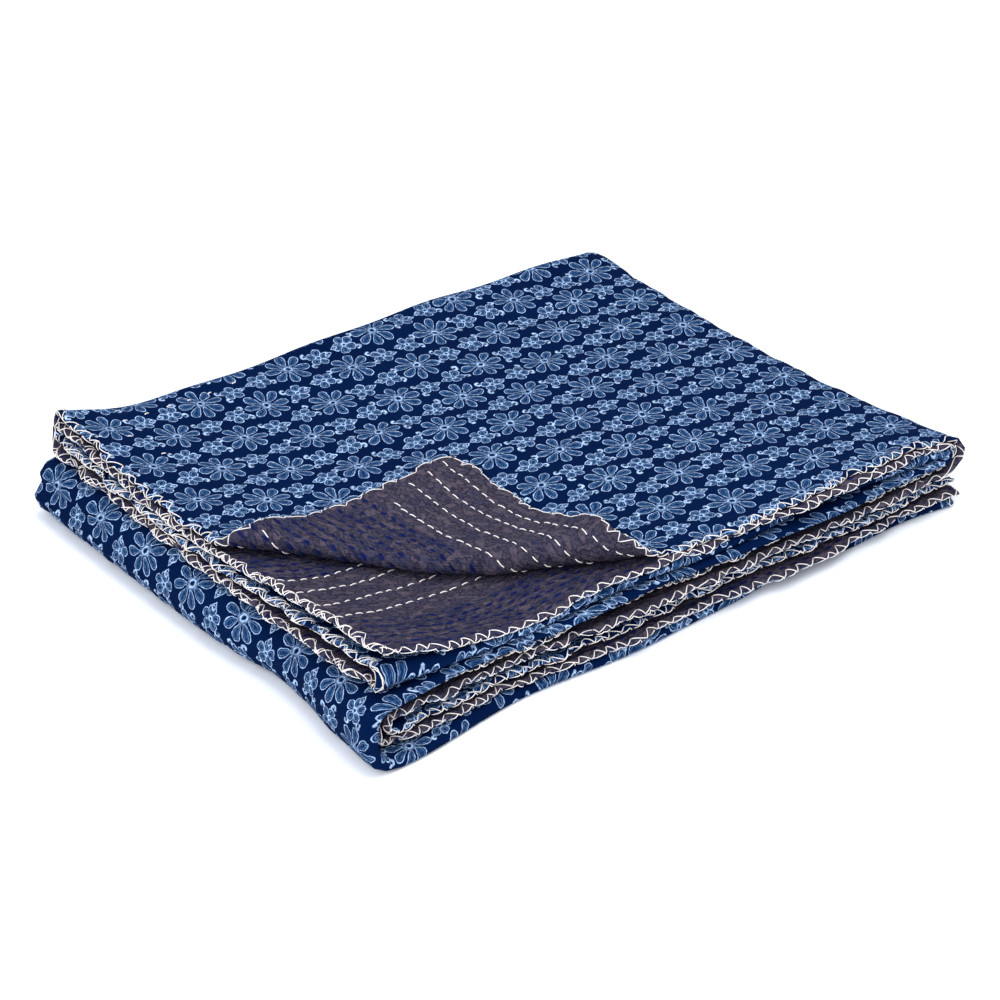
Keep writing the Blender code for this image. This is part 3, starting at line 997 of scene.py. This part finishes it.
def daisy(tree, place):
    """Line and fill masks of the eight-petalled flower, both with a dark eye."""
    radius = node(tree, "VectorMath", [place], 1, operation="LENGTH")
    petal = petal_ring(tree, place, *DAISY_PETALS)
    faint = [line_at(tree, petal, *INNER_LINE), FAINT_IN_DAISY]
    collar = [inside(tree, radius, *DAISY_COLLAR), COLLAR_SHARE]
    lines = [
        line_at(tree, petal, *OUTLINE),
        line_at(tree, radius, *DAISY_RING),
        node(tree, "Math", collar, operation="MULTIPLY"),
        node(tree, "Math", faint, operation="MULTIPLY"),
    ]
    fills = [inside(tree, petal, *PETAL_FILL), inside(tree, radius, *DAISY_HEART)]
    eye = inside(tree, radius, *DAISY_EYE)
    return tuple(
        node(tree, "Math", [strongest(tree, masks), eye], operation="SUBTRACT", use_clamp=True)
        for masks in (lines, fills)
    )


def sprig(tree, place):
    """Line and fill masks of the small five-petalled flower with its hooks and leaf."""
    radius = node(tree, "VectorMath", [place], 1, operation="LENGTH")
    petal = petal_ring(tree, place, *SPRIG_PETALS)
    leaf = node(tree, "VectorMath", [place, LEAF_MIDDLE], operation="SUBTRACT")
    leaf = node(tree, "VectorMath", [leaf], operation="ABSOLUTE")
    leaf = node(tree, "VectorMath", [leaf, LEAF_SLOPES], 1, operation="DOT_PRODUCT")
    faint = [line_at(tree, petal, *INNER_LINE), FAINT_IN_SPRIG]
    lines = [
        line_at(tree, petal, *OUTLINE),
        node(tree, "Math", faint, operation="MULTIPLY"),
        line_at(tree, radius, *SPRIG_RING),
        line_at(tree, leaf, *LEAF_LINE),
        *(hook(tree, place, middle) for middle in HOOKS),
    ]
    fills = [
        inside(tree, radius, *SPRIG_HEART),
        inside(tree, petal, *PETAL_FILL),
        inside(tree, leaf, *LEAF_FILL),
    ]
    return strongest(tree, lines), strongest(tree, fills)


print("petals of the daisy and of the sprig:", DAISY_PETALS[0], SPRIG_PETALS[0])

# %% [markdown]
# The dye and the weave come together in one material. Washed cotton is rough and matt, with
# hardly any gloss, so a deep navy stays deep. The weave has about 22 threads a centimetre.
# That is far too fine for a view of the whole quilt, so it is drawn twice as coarse, and as a
# bump only.

# %% Printed cotton
NAVY = "#02193f"
NAVY_DEEP = "#011032"
PETAL_BLUE = "#20446d"
PETAL_DARK = "#08234a"
PALE_LINE = "#adc9ec"
PRINT_ROUGHNESS, PRINT_GLOSS = 0.9, 0.02
WEAVE_PITCH = 0.9
WEAVE_RELIEF, PRINT_RELIEF = 0.12, 1.1
SPRIGS = (((24.8, 1.0, 0.0), 0.0), ((-24.2, -2.0, 0.0), math.pi))
DAISY_OFFSET, DAISY_TILT = (0.0, 0.0, 0.0), 0.2
# waves per mm, detail, and reach in mm of the drift of the whole block and of its edges
BLOCK_DRIFT, EDGE_DRIFT = (0.16, 3.0, 2.4), (0.7, 2.0, 0.8)
# size of the blotches in mm, detail, and the values between which a share rises to 1
PASTE_BLOTCHES, FILL_BLOTCHES = (2.6, 3.0, 0.36, 0.6), (1.9, 3.0, 0.4, 0.66)
PASTE_LEAST = 0.3
DIP_CLOUD = 60.0
RELIEF_BLOTCHES = (5.0, 3.0)


def cloth_place(tree):
    """The place on the flat cloth, in millimetres."""
    flat = node(tree, "UVMap", uv_map="flat_cloth")
    return node(tree, "VectorMath", {0: flat, "Scale": 1 / MM}, operation="SCALE")


def blotches(tree, place, size, detail=2.0, stretch=(1, 1, 1)):
    """Blotches of about one size in millimetres."""
    scaled = node(
        tree,
        "VectorMath",
        [place, tuple(1 / (size * part) for part in stretch)],
        operation="MULTIPLY",
    )
    return node(tree, "TexNoise", {"Vector": scaled, "Scale": 1.0, "Detail": detail})


def uneven_share(tree, place, size, detail, low, high, least=0.0, stretch=(1, 1, 1)):
    """A share from least to 1 that comes and goes over the cloth in blotches."""
    return node(
        tree,
        "MapRange",
        {"Value": blotches(tree, place, size, detail, stretch), "From Min": low,
         "From Max": high, "To Min": least},
    )


def hand_drift(tree, place, scale, detail, reach):
    """How far the hand is off at each place, to either side of nothing."""
    drift = node(tree, "TexNoise", {"Vector": place, "Scale": scale, "Detail": detail}, 1)
    drift = node(tree, "VectorMath", [drift, (-0.5, -0.5, -0.5)], operation="ADD")
    return node(tree, "VectorMath", {0: drift, "Scale": reach}, operation="SCALE")


def weave_height(tree, place):
    """Plain weave: threads over and under each other in both directions."""
    along, across, _ = node(tree, "SeparateXYZ", [place]).node.outputs
    waves = []
    for part in (along, across):
        angle = node(tree, "Math", [part, math.pi / WEAVE_PITCH], operation="MULTIPLY")
        waves.append(node(tree, "Math", [angle], operation="SINE"))
    return node(tree, "Math", waves, operation="MULTIPLY")


def relief(tree, heights):
    """A bump from pairs of a height and its size in millimetres, added up."""
    total = 0.0
    for height, size in heights:
        total = node(tree, "Math", [height, size, total], operation="MULTIPLY_ADD")
    return node(tree, "Bump", {"Distance": MM, "Height": total})


def printed_cotton():
    """Indigo cotton with pale lines and blue fills where the block left its paste."""
    material, tree = empty_material("indigo_block_print")
    place = cloth_place(tree)
    inked = place
    for drift in (BLOCK_DRIFT, EDGE_DRIFT):
        off = hand_drift(tree, place, *drift)
        inked = node(tree, "VectorMath", [inked, off], operation="ADD")
    masks = [daisy(tree, in_repeat(tree, inked, DAISY_OFFSET, DAISY_TILT))]
    masks += [sprig(tree, in_repeat(tree, inked, *at)) for at in SPRIGS]
    lines, fills = (strongest(tree, kind) for kind in zip(*masks))
    paste = uneven_share(tree, place, *PASTE_BLOTCHES, PASTE_LEAST)
    lines = node(tree, "Math", [lines, paste], operation="MULTIPLY")
    ground = dyed(tree, NAVY_DEEP, (blotches(tree, place, DIP_CLOUD), NAVY))
    petal = dyed(tree, PETAL_DARK, (uneven_share(tree, place, *FILL_BLOTCHES), PETAL_BLUE))
    colour = dyed(tree, ground, (fills, petal), (lines, PALE_LINE))
    bump = relief(
        tree,
        [
            (weave_height(tree, place), WEAVE_RELIEF),
            (blotches(tree, place, *RELIEF_BLOTCHES), PRINT_RELIEF),
        ],
    )
    matt_surface(tree, colour, PRINT_ROUGHNESS, PRINT_GLOSS, bump)
    return material


printed_cloth.data.materials.append(printed_cotton())
print("print nodes:", len(bpy.data.materials["indigo_block_print"].node_tree.nodes))

# %% [markdown]
# ## Grey-brown backing
#
# The backing is older, softer cotton, overdyed so that a grey-brown lies unevenly over blue.
# The running stitches pull it into fine crinkles that follow the rows, and where the navy
# thread sinks in, its dye has bled and left soft navy dashes. The crinkles are drawn as noise
# stretched along the rows, as a bump and also as painted shade in the colour, darker in their
# hollows, with a painted dark crease shadow along one of its contour lines, and the dashes as
# soft spots in a brick pattern.

# %% Backing cotton
# GREY_PLUM and WARM_BROWN are mixed by the dye's streaks and by the crinkles: the crinkles'
# hollows get painted shade towards GREY_PLUM
GREY_PLUM = "#20253a"
WARM_BROWN = "#5a4f58"
BLUE_CAST = "#1f2646"
BLED_NAVY = "#0a154b"
# painted shade: a dark line along the crinkles' creases
CREASE_SHADE = "#12152a"
BACKING_ROUGHNESS, BACKING_GLOSS = 0.92, 0.04
# sizes in mm, detail, and how much longer along the rows than across them
STREAKS, CRINKLES = (1.7, 4.0, (1.5, 1, 1)), (5.0, 3.0, (1.7, 1, 1))
# share of the crinkles in the colour: painted shade that darkens their hollows
CRINKLE_SHADE_SHARE = 0.9
BROWN_FROM, BROWN_TO = 0.66, 1.3
BLUE_PATCHES, PATCH_STRETCH = (15.0, 4.0, 0.46, 0.64), (1.6, 1, 1)
BLUE_ALL_OVER, BLUE_IN_ROWS = 0.3, 0.3
# where the painted crease shade runs on the crinkles, its half width, and its strength
CREASE_SHADE_LINE, CREASE_SHADE_SHARE = (0.5, 0.022), 0.6
CRINKLE_RELIEF, CREASE_RELIEF, DASH_RELIEF = 3.4, -0.8, -0.5
DASH_PITCH = 9.5
DASH_ROW = 8.0
DASH_FROM, DASH_TO = 64.0, 1262.0
DASH_AGAIN = 1327.0
DASH_DRIFT = (0.12, 2.0, 5.0)
DASH_PRESENT = 0.85
DASH_HALF = (3.2, 1.2)
DASH_EDGE = (1.2, 0.5)
DASH_SHARE = 0.95


def cell_and_rest(tree, count, length):
    """The number of a repeat, and the distance from its middle, for a count of repeats."""
    number = node(tree, "Math", [count], operation="FLOOR")
    rest = node(tree, "Math", [count], operation="FRACT")
    return number, node(tree, "Math", [rest, length, -length / 2], operation="MULTIPLY_ADD")


def navy_window(tree, place):
    """1 where on the cloth the navy rows run, and 0 beside them."""
    _, across, _ = node(tree, "SeparateXYZ", [place]).node.outputs
    after = node(tree, "Math", [across, DASH_FROM], operation="GREATER_THAN")
    before = node(tree, "Math", [across, DASH_TO], operation="LESS_THAN")
    again = node(tree, "Math", [across, DASH_AGAIN], operation="GREATER_THAN")
    between = node(tree, "Math", [after, before], operation="MULTIPLY")
    return strongest(tree, [between, again])


def bled_dashes(tree, place):
    """Soft navy dashes in rows, each row shifted by its own chance, some of them missing."""
    off = hand_drift(tree, place, *DASH_DRIFT)
    moved = node(tree, "VectorMath", [place, off], operation="ADD")
    along, across, _ = node(tree, "SeparateXYZ", [moved]).node.outputs
    rows = node(tree, "Math", [across, DASH_ROW], operation="DIVIDE")
    row, off_row = cell_and_rest(tree, rows, DASH_ROW)
    shift = node(tree, "TexWhiteNoise", {"W": row}, noise_dimensions="1D")
    dashes = node(tree, "Math", [along, 1 / DASH_PITCH, shift], operation="MULTIPLY_ADD")
    dash, off_dash = cell_and_rest(tree, dashes, DASH_PITCH)
    number = node(tree, "CombineXYZ", [row, dash])
    chance = node(tree, "TexWhiteNoise", {"Vector": number}, noise_dimensions="3D")
    present = node(tree, "Math", [chance, DASH_PRESENT], operation="LESS_THAN")
    spot = node(tree, "CombineXYZ", [off_dash, off_row])
    steepness = (1 / DASH_HALF[0], 1 / DASH_HALF[1], 0.0)
    spot = node(tree, "VectorMath", [spot, steepness], operation="MULTIPLY")
    spot = node(tree, "VectorMath", [spot], 1, operation="LENGTH")
    return node(tree, "Math", [inside(tree, spot, *DASH_EDGE), present], operation="MULTIPLY")


def backing_cotton():
    """Grey-brown cotton, crinkled along the rows with painted crinkle shade, and stained by the
    navy thread.
    """
    material, tree = empty_material("grey_brown_cotton")
    place = cloth_place(tree)
    streaks = blotches(tree, place, *STREAKS)
    crinkles = blotches(tree, place, *CRINKLES)
    # the dye's streaks, plus the crinkles as painted shade, darker in their hollows
    streaks_and_crinkle_shade = node(tree, "Math", [crinkles, CRINKLE_SHADE_SHARE, streaks], operation="MULTIPLY_ADD")
    # share of WARM_BROWN: from the dye's streaks and from the painted crinkle shade
    brown = node(
        tree, "MapRange", {"Value": streaks_and_crinkle_shade, "From Min": BROWN_FROM, "From Max": BROWN_TO}
    )
    window = navy_window(tree, place)
    cast = node(
        tree, "Math", [window, BLUE_IN_ROWS, BLUE_ALL_OVER], operation="MULTIPLY_ADD"
    )
    blue = uneven_share(tree, place, *BLUE_PATCHES, stretch=PATCH_STRETCH)
    blue = node(tree, "Math", [blue, cast], operation="MULTIPLY")
    dashes = node(tree, "Math", [bled_dashes(tree, place), window], operation="MULTIPLY")
    dashes = node(tree, "Math", [dashes, DASH_SHARE], operation="MULTIPLY")
    # painted shade along a crease of the crinkles, also pressed in as a groove in the bump
    crease_shade_and_groove = line_at(tree, crinkles, *CREASE_SHADE_LINE)
    crease_shade_and_groove = node(tree, "Math", [crease_shade_and_groove, CREASE_SHADE_SHARE], operation="MULTIPLY")
    colour = dyed(
        tree, GREY_PLUM, (brown, WARM_BROWN), (blue, BLUE_CAST), (dashes, BLED_NAVY),
        (crease_shade_and_groove, CREASE_SHADE),
    )
    heights = [
        (weave_height(tree, place), WEAVE_RELIEF),
        (crinkles, CRINKLE_RELIEF),
        (crease_shade_and_groove, CREASE_RELIEF),
        (dashes, DASH_RELIEF),
    ]
    matt_surface(tree, colour, BACKING_ROUGHNESS, BACKING_GLOSS, relief(tree, heights))
    return material


brown_backing.data.materials.append(backing_cotton())
print("backing nodes:", len(bpy.data.materials["grey_brown_cotton"].node_tree.nodes))

# %% [markdown]
# ## Thread
#
# Kantha thread is soft cotton of several strands, three quarters of a millimetre thick in
# the rows and a little finer on the hems. It lies in the cloth rather than on it. Each stitch
# is a tube with closed ends that follows the folded quilt: its path is drawn on the flat
# sheet, with a height over the quilt's middle, and the same function that folds the cloth
# folds the thread. So every stitch lies where a needle would have put it.

# %% Tubes along paths on the flat sheet
THREAD_SIDES = 5
THREAD_ROUGHNESS, THREAD_GLOSS = 0.85, 0.2
THREAD_BLOTCH_SCALE, THREAD_BLOTCH_DETAIL = 180.0, 2.0


def thread_points(u, v, height):
    """Points over the quilt, also a little outside its edges, and the quilt's normals."""
    inner_u, inner_v = np.clip(u, 0.0, FLAT_U), np.clip(v, 0.0, FLAT_V)
    middle, along, across, normal = rippled_place(inner_u, inner_v)
    beyond = along * (u - inner_u)[:, None] + across * (v - inner_v)[:, None]
    return middle + beyond + normal * height[:, None], normal


def tube(line, out, radius, first):
    """Corners and faces of a closed tube along a line, its corners numbered from first."""
    ahead = np.gradient(line, axis=0)
    ahead /= np.linalg.norm(ahead, axis=1, keepdims=True)
    side = np.cross(ahead, out)
    side /= np.linalg.norm(side, axis=1, keepdims=True)
    up = np.cross(side, ahead)
    angles = 2 * math.pi * np.arange(THREAD_SIDES)[:, None] / THREAD_SIDES
    rings = np.cos(angles) * side[:, None] + np.sin(angles) * up[:, None]
    verts = (line[:, None] + radius * rings).reshape(-1, 3)
    faces = []
    for low in range(first, first + len(verts) - THREAD_SIDES, THREAD_SIDES):
        high = low + THREAD_SIDES
        for corner in range(THREAD_SIDES):
            following = (corner + 1) % THREAD_SIDES
            faces.append((low + corner, low + following, high + following, high + corner))
    last = first + len(verts) - THREAD_SIDES
    faces.append(tuple(range(first + THREAD_SIDES - 1, first - 1, -1)))
    faces.append(tuple(range(last, last + THREAD_SIDES)))
    return verts, faces


def make_threads(name, paths, radius, material):
    """One mesh of closed tubes; each path is rows of (u, v, height)."""
    rows = np.concatenate(paths)
    points, normals = thread_points(rows[:, 0], rows[:, 1], rows[:, 2])
    points -= np.array(CENTRE)
    ends = np.cumsum([len(path) for path in paths])[:-1]
    verts, faces = [], []
    for line, out in zip(np.split(points, ends), np.split(normals, ends)):
        tube_verts, tube_faces = tube(line, out, radius, len(verts))
        verts.extend(tube_verts)
        faces.extend(tube_faces)
    mesh = bpy.data.meshes.new(name)
    mesh.from_pydata([tuple(vert) for vert in verts], [], faces)
    mesh.shade_smooth()
    thread = add_object(name, mesh)
    thread.data.materials.append(material)
    triangles = sum(len(face) - 2 for face in faces)
    print(f"{name}: {len(paths)} lengths of thread, {triangles} triangles")
    return thread


def thread_cotton(name, colour, darker_colour):
    """Matt twisted cotton, a little darker in random blotches."""
    material, tree = empty_material(name)
    place = node(tree, "TexCoord", [], 3)
    # the thread goes a little darker in random blotches of about 5 mm
    colour_share = node(
        tree, "TexNoise", {"Vector": place, "Scale": THREAD_BLOTCH_SCALE, "Detail": THREAD_BLOTCH_DETAIL}
    )
    matt_surface(tree, dyed(tree, darker_colour, (colour_share, colour)), THREAD_ROUGHNESS, THREAD_GLOSS)
    return material


cream_cotton = thread_cotton("cream_thread", "#f1ece8", "#dcd2ca")
navy_cotton = thread_cotton("navy_thread", "#122052", "#0b1439")
print("thread materials:", cream_cotton.name, navy_cotton.name)

# %% [markdown]
# ## Hem stitches
#
# All four hems are overcast with a slanted stitch that is worked twice. Seen from above it
# makes a stair: a long slanted arm along the hem and a short steep one back. Each face has
# its own zigzag, and both reach round the fat edge, where they cross. By hand the spacing
# varies by up to a quarter, and so does the depth of the holes. Most of the left hem was
# worked once more, deeper, so its threads make a net.

# %% Overcast hems
HEM_RUNS = (
    # edge, pitch, depth of the holes, how far past the edge, and where it starts, in mm
    ("left", 13.0, 5.0, 1.4, 0.0),
    ("left", 15.5, 6.0, 0.8, 350.0),
    ("right", 10.8, 4.0, 0.6, 0.0),
    ("first", 10.8, 4.0, 0.6, 0.0),
    ("second", 10.8, 4.0, 0.6, 0.0),
)
HEM_THREAD = 0.31 * MM
HEM_LAID = 0.6 * HEM_THREAD
HEM_SLACK = 0.3 * MM
HEM_SUNK = 0.5 * MM
LONG_SHARE = 0.72
LONG_POINTS, SHORT_POINTS = 6, 4
FIRST_HOLE, LAST_HOLE = 0.5, 0.4
# what the hand leaves to chance, each as a share of the even stitch
PITCH_CHANCE, LONG_CHANCE = (0.72, 1.28), (0.8, 1.15)
BEYOND_CHANCE, DEPTH_CHANCE = (-0.6, 1.8), (0.65, 1.3)
PROFILE_LENGTH = 12 * MM
PROFILE_SAMPLES = 200
STITCH_SEED = 5

stitch_random = np.random.default_rng(STITCH_SEED)


def edge_place(edge, along, inwards):
    """Flat place at a distance along an edge and a distance in from it."""
    return {
        "left": (inwards, along),
        "right": (FLAT_U - inwards, along),
        "first": (along, inwards),
        "second": (along, FLAT_V - inwards),
    }[edge]


def round_the_edge(edge, reach, lift):
    """Distance inside the hem and height over the middle, at a reach along the quilt's skin.

    Reach counts from the hem's edge, positive over the printed side.
    """
    inwards = np.linspace(0.0, PROFILE_LENGTH, PROFILE_SAMPLES)
    halfway = np.full(len(inwards), FLAT_U / 2)
    skin = cloth_outside(*edge_place(edge, halfway, inwards))
    inwards, skin = np.append(0.0, inwards), np.append(0.0, skin)
    steps = np.hypot(np.diff(inwards), np.diff(skin))
    length = np.append(0.0, np.cumsum(steps))
    lean_in, lean_up = np.gradient(inwards), np.gradient(skin)
    lean = np.hypot(lean_in, lean_up)
    size = np.abs(reach)
    out_in = -np.interp(size, length, lean_up / lean)
    out_up = np.interp(size, length, lean_in / lean)
    inside_hem = np.interp(size, length, inwards) + out_in * lift
    height = np.interp(size, length, skin) + out_up * lift
    return inside_hem, np.sign(reach) * height


def hem_zigzag(length, side, pitch, depth, beyond, start):
    """One whipping thread: place along the hem, reach round its edge, and lift off the skin."""
    along, reach, lift = [], [], []
    place = start + stitch_random.uniform(0.0, FIRST_HOLE) * pitch
    hole = depth
    while place < length - LAST_HOLE * pitch:
        step = pitch * stitch_random.uniform(*PITCH_CHANCE)
        turn = place + step * LONG_SHARE * stitch_random.uniform(*LONG_CHANCE)
        over = -beyond * stitch_random.uniform(*BEYOND_CHANCE)
        following = depth * stitch_random.uniform(*DEPTH_CHANCE)
        arms = (
            (place, turn, hole, over, LONG_POINTS),
            (turn, place + step, over, following, SHORT_POINTS),
        )
        for begin, end, first, last, points in arms:
            shares = np.arange(points) / points
            slack = HEM_SLACK * stitch_random.uniform(0.0, 1.0)
            along.extend(begin + (end - begin) * shares)
            reach.extend(side * (first + (last - first) * shares))
            lift.extend(HEM_LAID + slack * np.sin(math.pi * shares))
        lift[-LONG_POINTS - SHORT_POINTS] -= HEM_SUNK
        place, hole = place + step, following
    along, reach, lift = np.array(along), np.array(reach), np.array(lift)
    keep = along < length
    return along[keep], reach[keep], lift[keep]


def hem_paths():
    """Two zigzags for each run, one on each face of the quilt, as paths on the flat sheet."""
    paths = []
    for edge, *sizes in HEM_RUNS:
        length = FLAT_V if edge in ("left", "right") else FLAT_U
        pitch, depth, beyond, start = (size * MM for size in sizes)
        for side in (1, -1):
            along, reach, lift = hem_zigzag(length, side, pitch, depth, beyond, start)
            inside_hem, height = round_the_edge(edge, reach, lift)
            paths.append(np.stack([*edge_place(edge, along, inside_hem), height], axis=1))
    return paths


hem_stitches = make_threads("hem_stitches", hem_paths(), HEM_THREAD, cream_cotton)

# %% [markdown]
# ## Running stitches
#
# The rows in cream thread run in pairs and fours beside the hems, on the backing side. A
# running stitch shows as a dash 5 to 6 mm long, then the thread dips and runs unseen for
# 3 mm. Each dash is a short arch with both ends sunk in the cloth. The rows bow a little,
# as they were sewn by eye. Here and there a prick of it comes up on the printed side.

# %% Cream rows
CREAM_LENGTH = 5.5
CREAM_PITCH = 8.8
CREAM_RADIUS = 0.38 * MM
CREAM_RISE, PRICK_RISE = 0.9, 0.7
PRICK_LENGTH, PRICK_PITCH = 3.0, 18.0
PRICK_ROWS = (
    # u and v of the row's start and end on the printed side, then the bow, in mm
    ((2, 305), (30, 300), 0),
    ((30, 319), (130, 329), 0),
    ((24, 278), (50, 275), 0),
)
FLAP_ROWS = (
    # u and v of the row's start, then of its end, then how far it bows, in mm
    ((2, 10), (190, 9), 5),
    ((8, 25), (185, 26), 1.5),
    ((8, 38), (165, 38), 3.5),
    ((22, 57), (150, 51), 3.5),
    ((10, 138), (34, 138), 0),
    ((5, 156), (20, 156), 0),
)
SECOND_HEM_ROWS = (
    # u and distance from the second hem at the row's start and end, then the bow, in mm
    ((2, 50), (140, 70), -7),
    ((2, 69), (120, 91), -5),
    ((3, 90), (100, 109), -1.5),
    ((2, 109), (78, 121), 0),
)
# where a dash is along its length, and how high it stands there, in radii of the thread
ARCH_SHARES = np.array([-0.5, -0.42, -0.2, 0.0, 0.2, 0.42, 0.5])
ARCH_HEIGHTS = np.array([-1.1, -0.2, 0.7, 1.0, 0.7, -0.2, -1.1])
# what the hand leaves to chance: shares of the pitch and of the length, then mm and radians
START_CHANCE, STEP_CHANCE, SIZE_CHANCE = (0.3, 0.8), (0.88, 1.12), (0.85, 1.15)
ROW_STRAY, DASH_STRAY = 0.3, 0.06


def dashes(start, end, length, pitch, bow):
    """Middles, directions and lengths of the dashes of one row, in mm."""
    start, end = np.array(start, float), np.array(end, float)
    span = np.linalg.norm(end - start)
    ahead = (end - start) / span
    beside = np.array([-ahead[1], ahead[0]])
    found, place = [], stitch_random.uniform(*START_CHANCE) * pitch
    while place < span:
        size = length * stitch_random.uniform(*SIZE_CHANCE)
        share = place / span
        sway = bow * 4 * share * (1 - share) + stitch_random.normal(0, ROW_STRAY)
        turn = stitch_random.normal(0, DASH_STRAY)
        found.append((start + ahead * place + beside * sway, ahead + beside * turn, size))
        place += pitch * stitch_random.uniform(*STEP_CHANCE)
    return found


def dash_path(middle, ahead, size, side, radius, rise):
    """An arch over the cloth; side is 1 on the printed side and -1 on the backing."""
    flat = (np.array(middle) + np.outer(ARCH_SHARES * size, ahead)) * MM
    skin = cloth_outside(flat[:, 0], flat[:, 1])
    return np.column_stack([flat, side * (skin + radius * rise * ARCH_HEIGHTS)])


def row_paths(rows, length, pitch, radius, rise, side=-1):
    """Every dash of every row, as paths on the flat sheet."""
    return [
        dash_path(middle, ahead, size, side, radius, rise)
        for start, end, bow in rows
        for middle, ahead, size in dashes(start, end, length, pitch, bow)
    ]


def from_second_hem(rows):
    """Rows given by their distance from the second hem, as rows by u and v."""
    flat_v = FLAT_V / MM
    return [
        ((u, flat_v - w), (end_u, flat_v - end_w), bow)
        for (u, w), (end_u, end_w), bow in rows
    ]


cream_rows_flat = [*FLAP_ROWS, *from_second_hem(SECOND_HEM_ROWS)]
cream_paths = row_paths(cream_rows_flat, CREAM_LENGTH, CREAM_PITCH, CREAM_RADIUS, CREAM_RISE)
cream_paths += row_paths(
    PRICK_ROWS, PRICK_LENGTH, PRICK_PITCH, CREAM_RADIUS, PRICK_RISE, side=1
)
cream_rows = make_threads("cream_running_stitches", cream_paths, CREAM_RADIUS, cream_cotton)

# %% [markdown]
# The navy rows are quieter. Their thread is the colour of the print, so on the printed side
# they vanish, and on the backing they show as dark dashes, 8 mm from row to row. They are
# sewn where the quilt is open to view.

# %% Navy rows
NAVY_LENGTH = 5.2
NAVY_PITCH = 9.5
NAVY_RADIUS = 0.4 * MM
NAVY_RISE = 0.6
# one row every 8 mm; each has u and v of its start and end, then the bow, in mm
NAVY_FLAP = [((2, v), (215, v), 2.5) for v in range(68, 180, 8)]
NAVY_SECOND = [((4, w), (200, w + 3), -3.0) for w in range(11, 51, 8)]

navy_rows_flat = [*NAVY_FLAP, *from_second_hem(NAVY_SECOND)]
navy_paths = row_paths(navy_rows_flat, NAVY_LENGTH, NAVY_PITCH, NAVY_RADIUS, NAVY_RISE)
navy_rows = make_threads("navy_running_stitches", navy_paths, NAVY_RADIUS, navy_cotton)

# %% [markdown]
# ## One body
#
# The two cloths are sheets cut to the flat size and held folded. They stand for the two solid
# cloths of the frame, and everything rides on its one body.

# %% Bodies, hidden parts and sizes
threads = [hem_stitches, cream_rows, navy_rows]
for piece in (printed_cloth, brown_backing, *threads):
    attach(piece, "root")
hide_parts("front_cloth")
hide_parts("backing_cloth")

looks_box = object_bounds()
for corner in looks_box:
    print("looks box corner:", [round(value, 4) for value in corner])
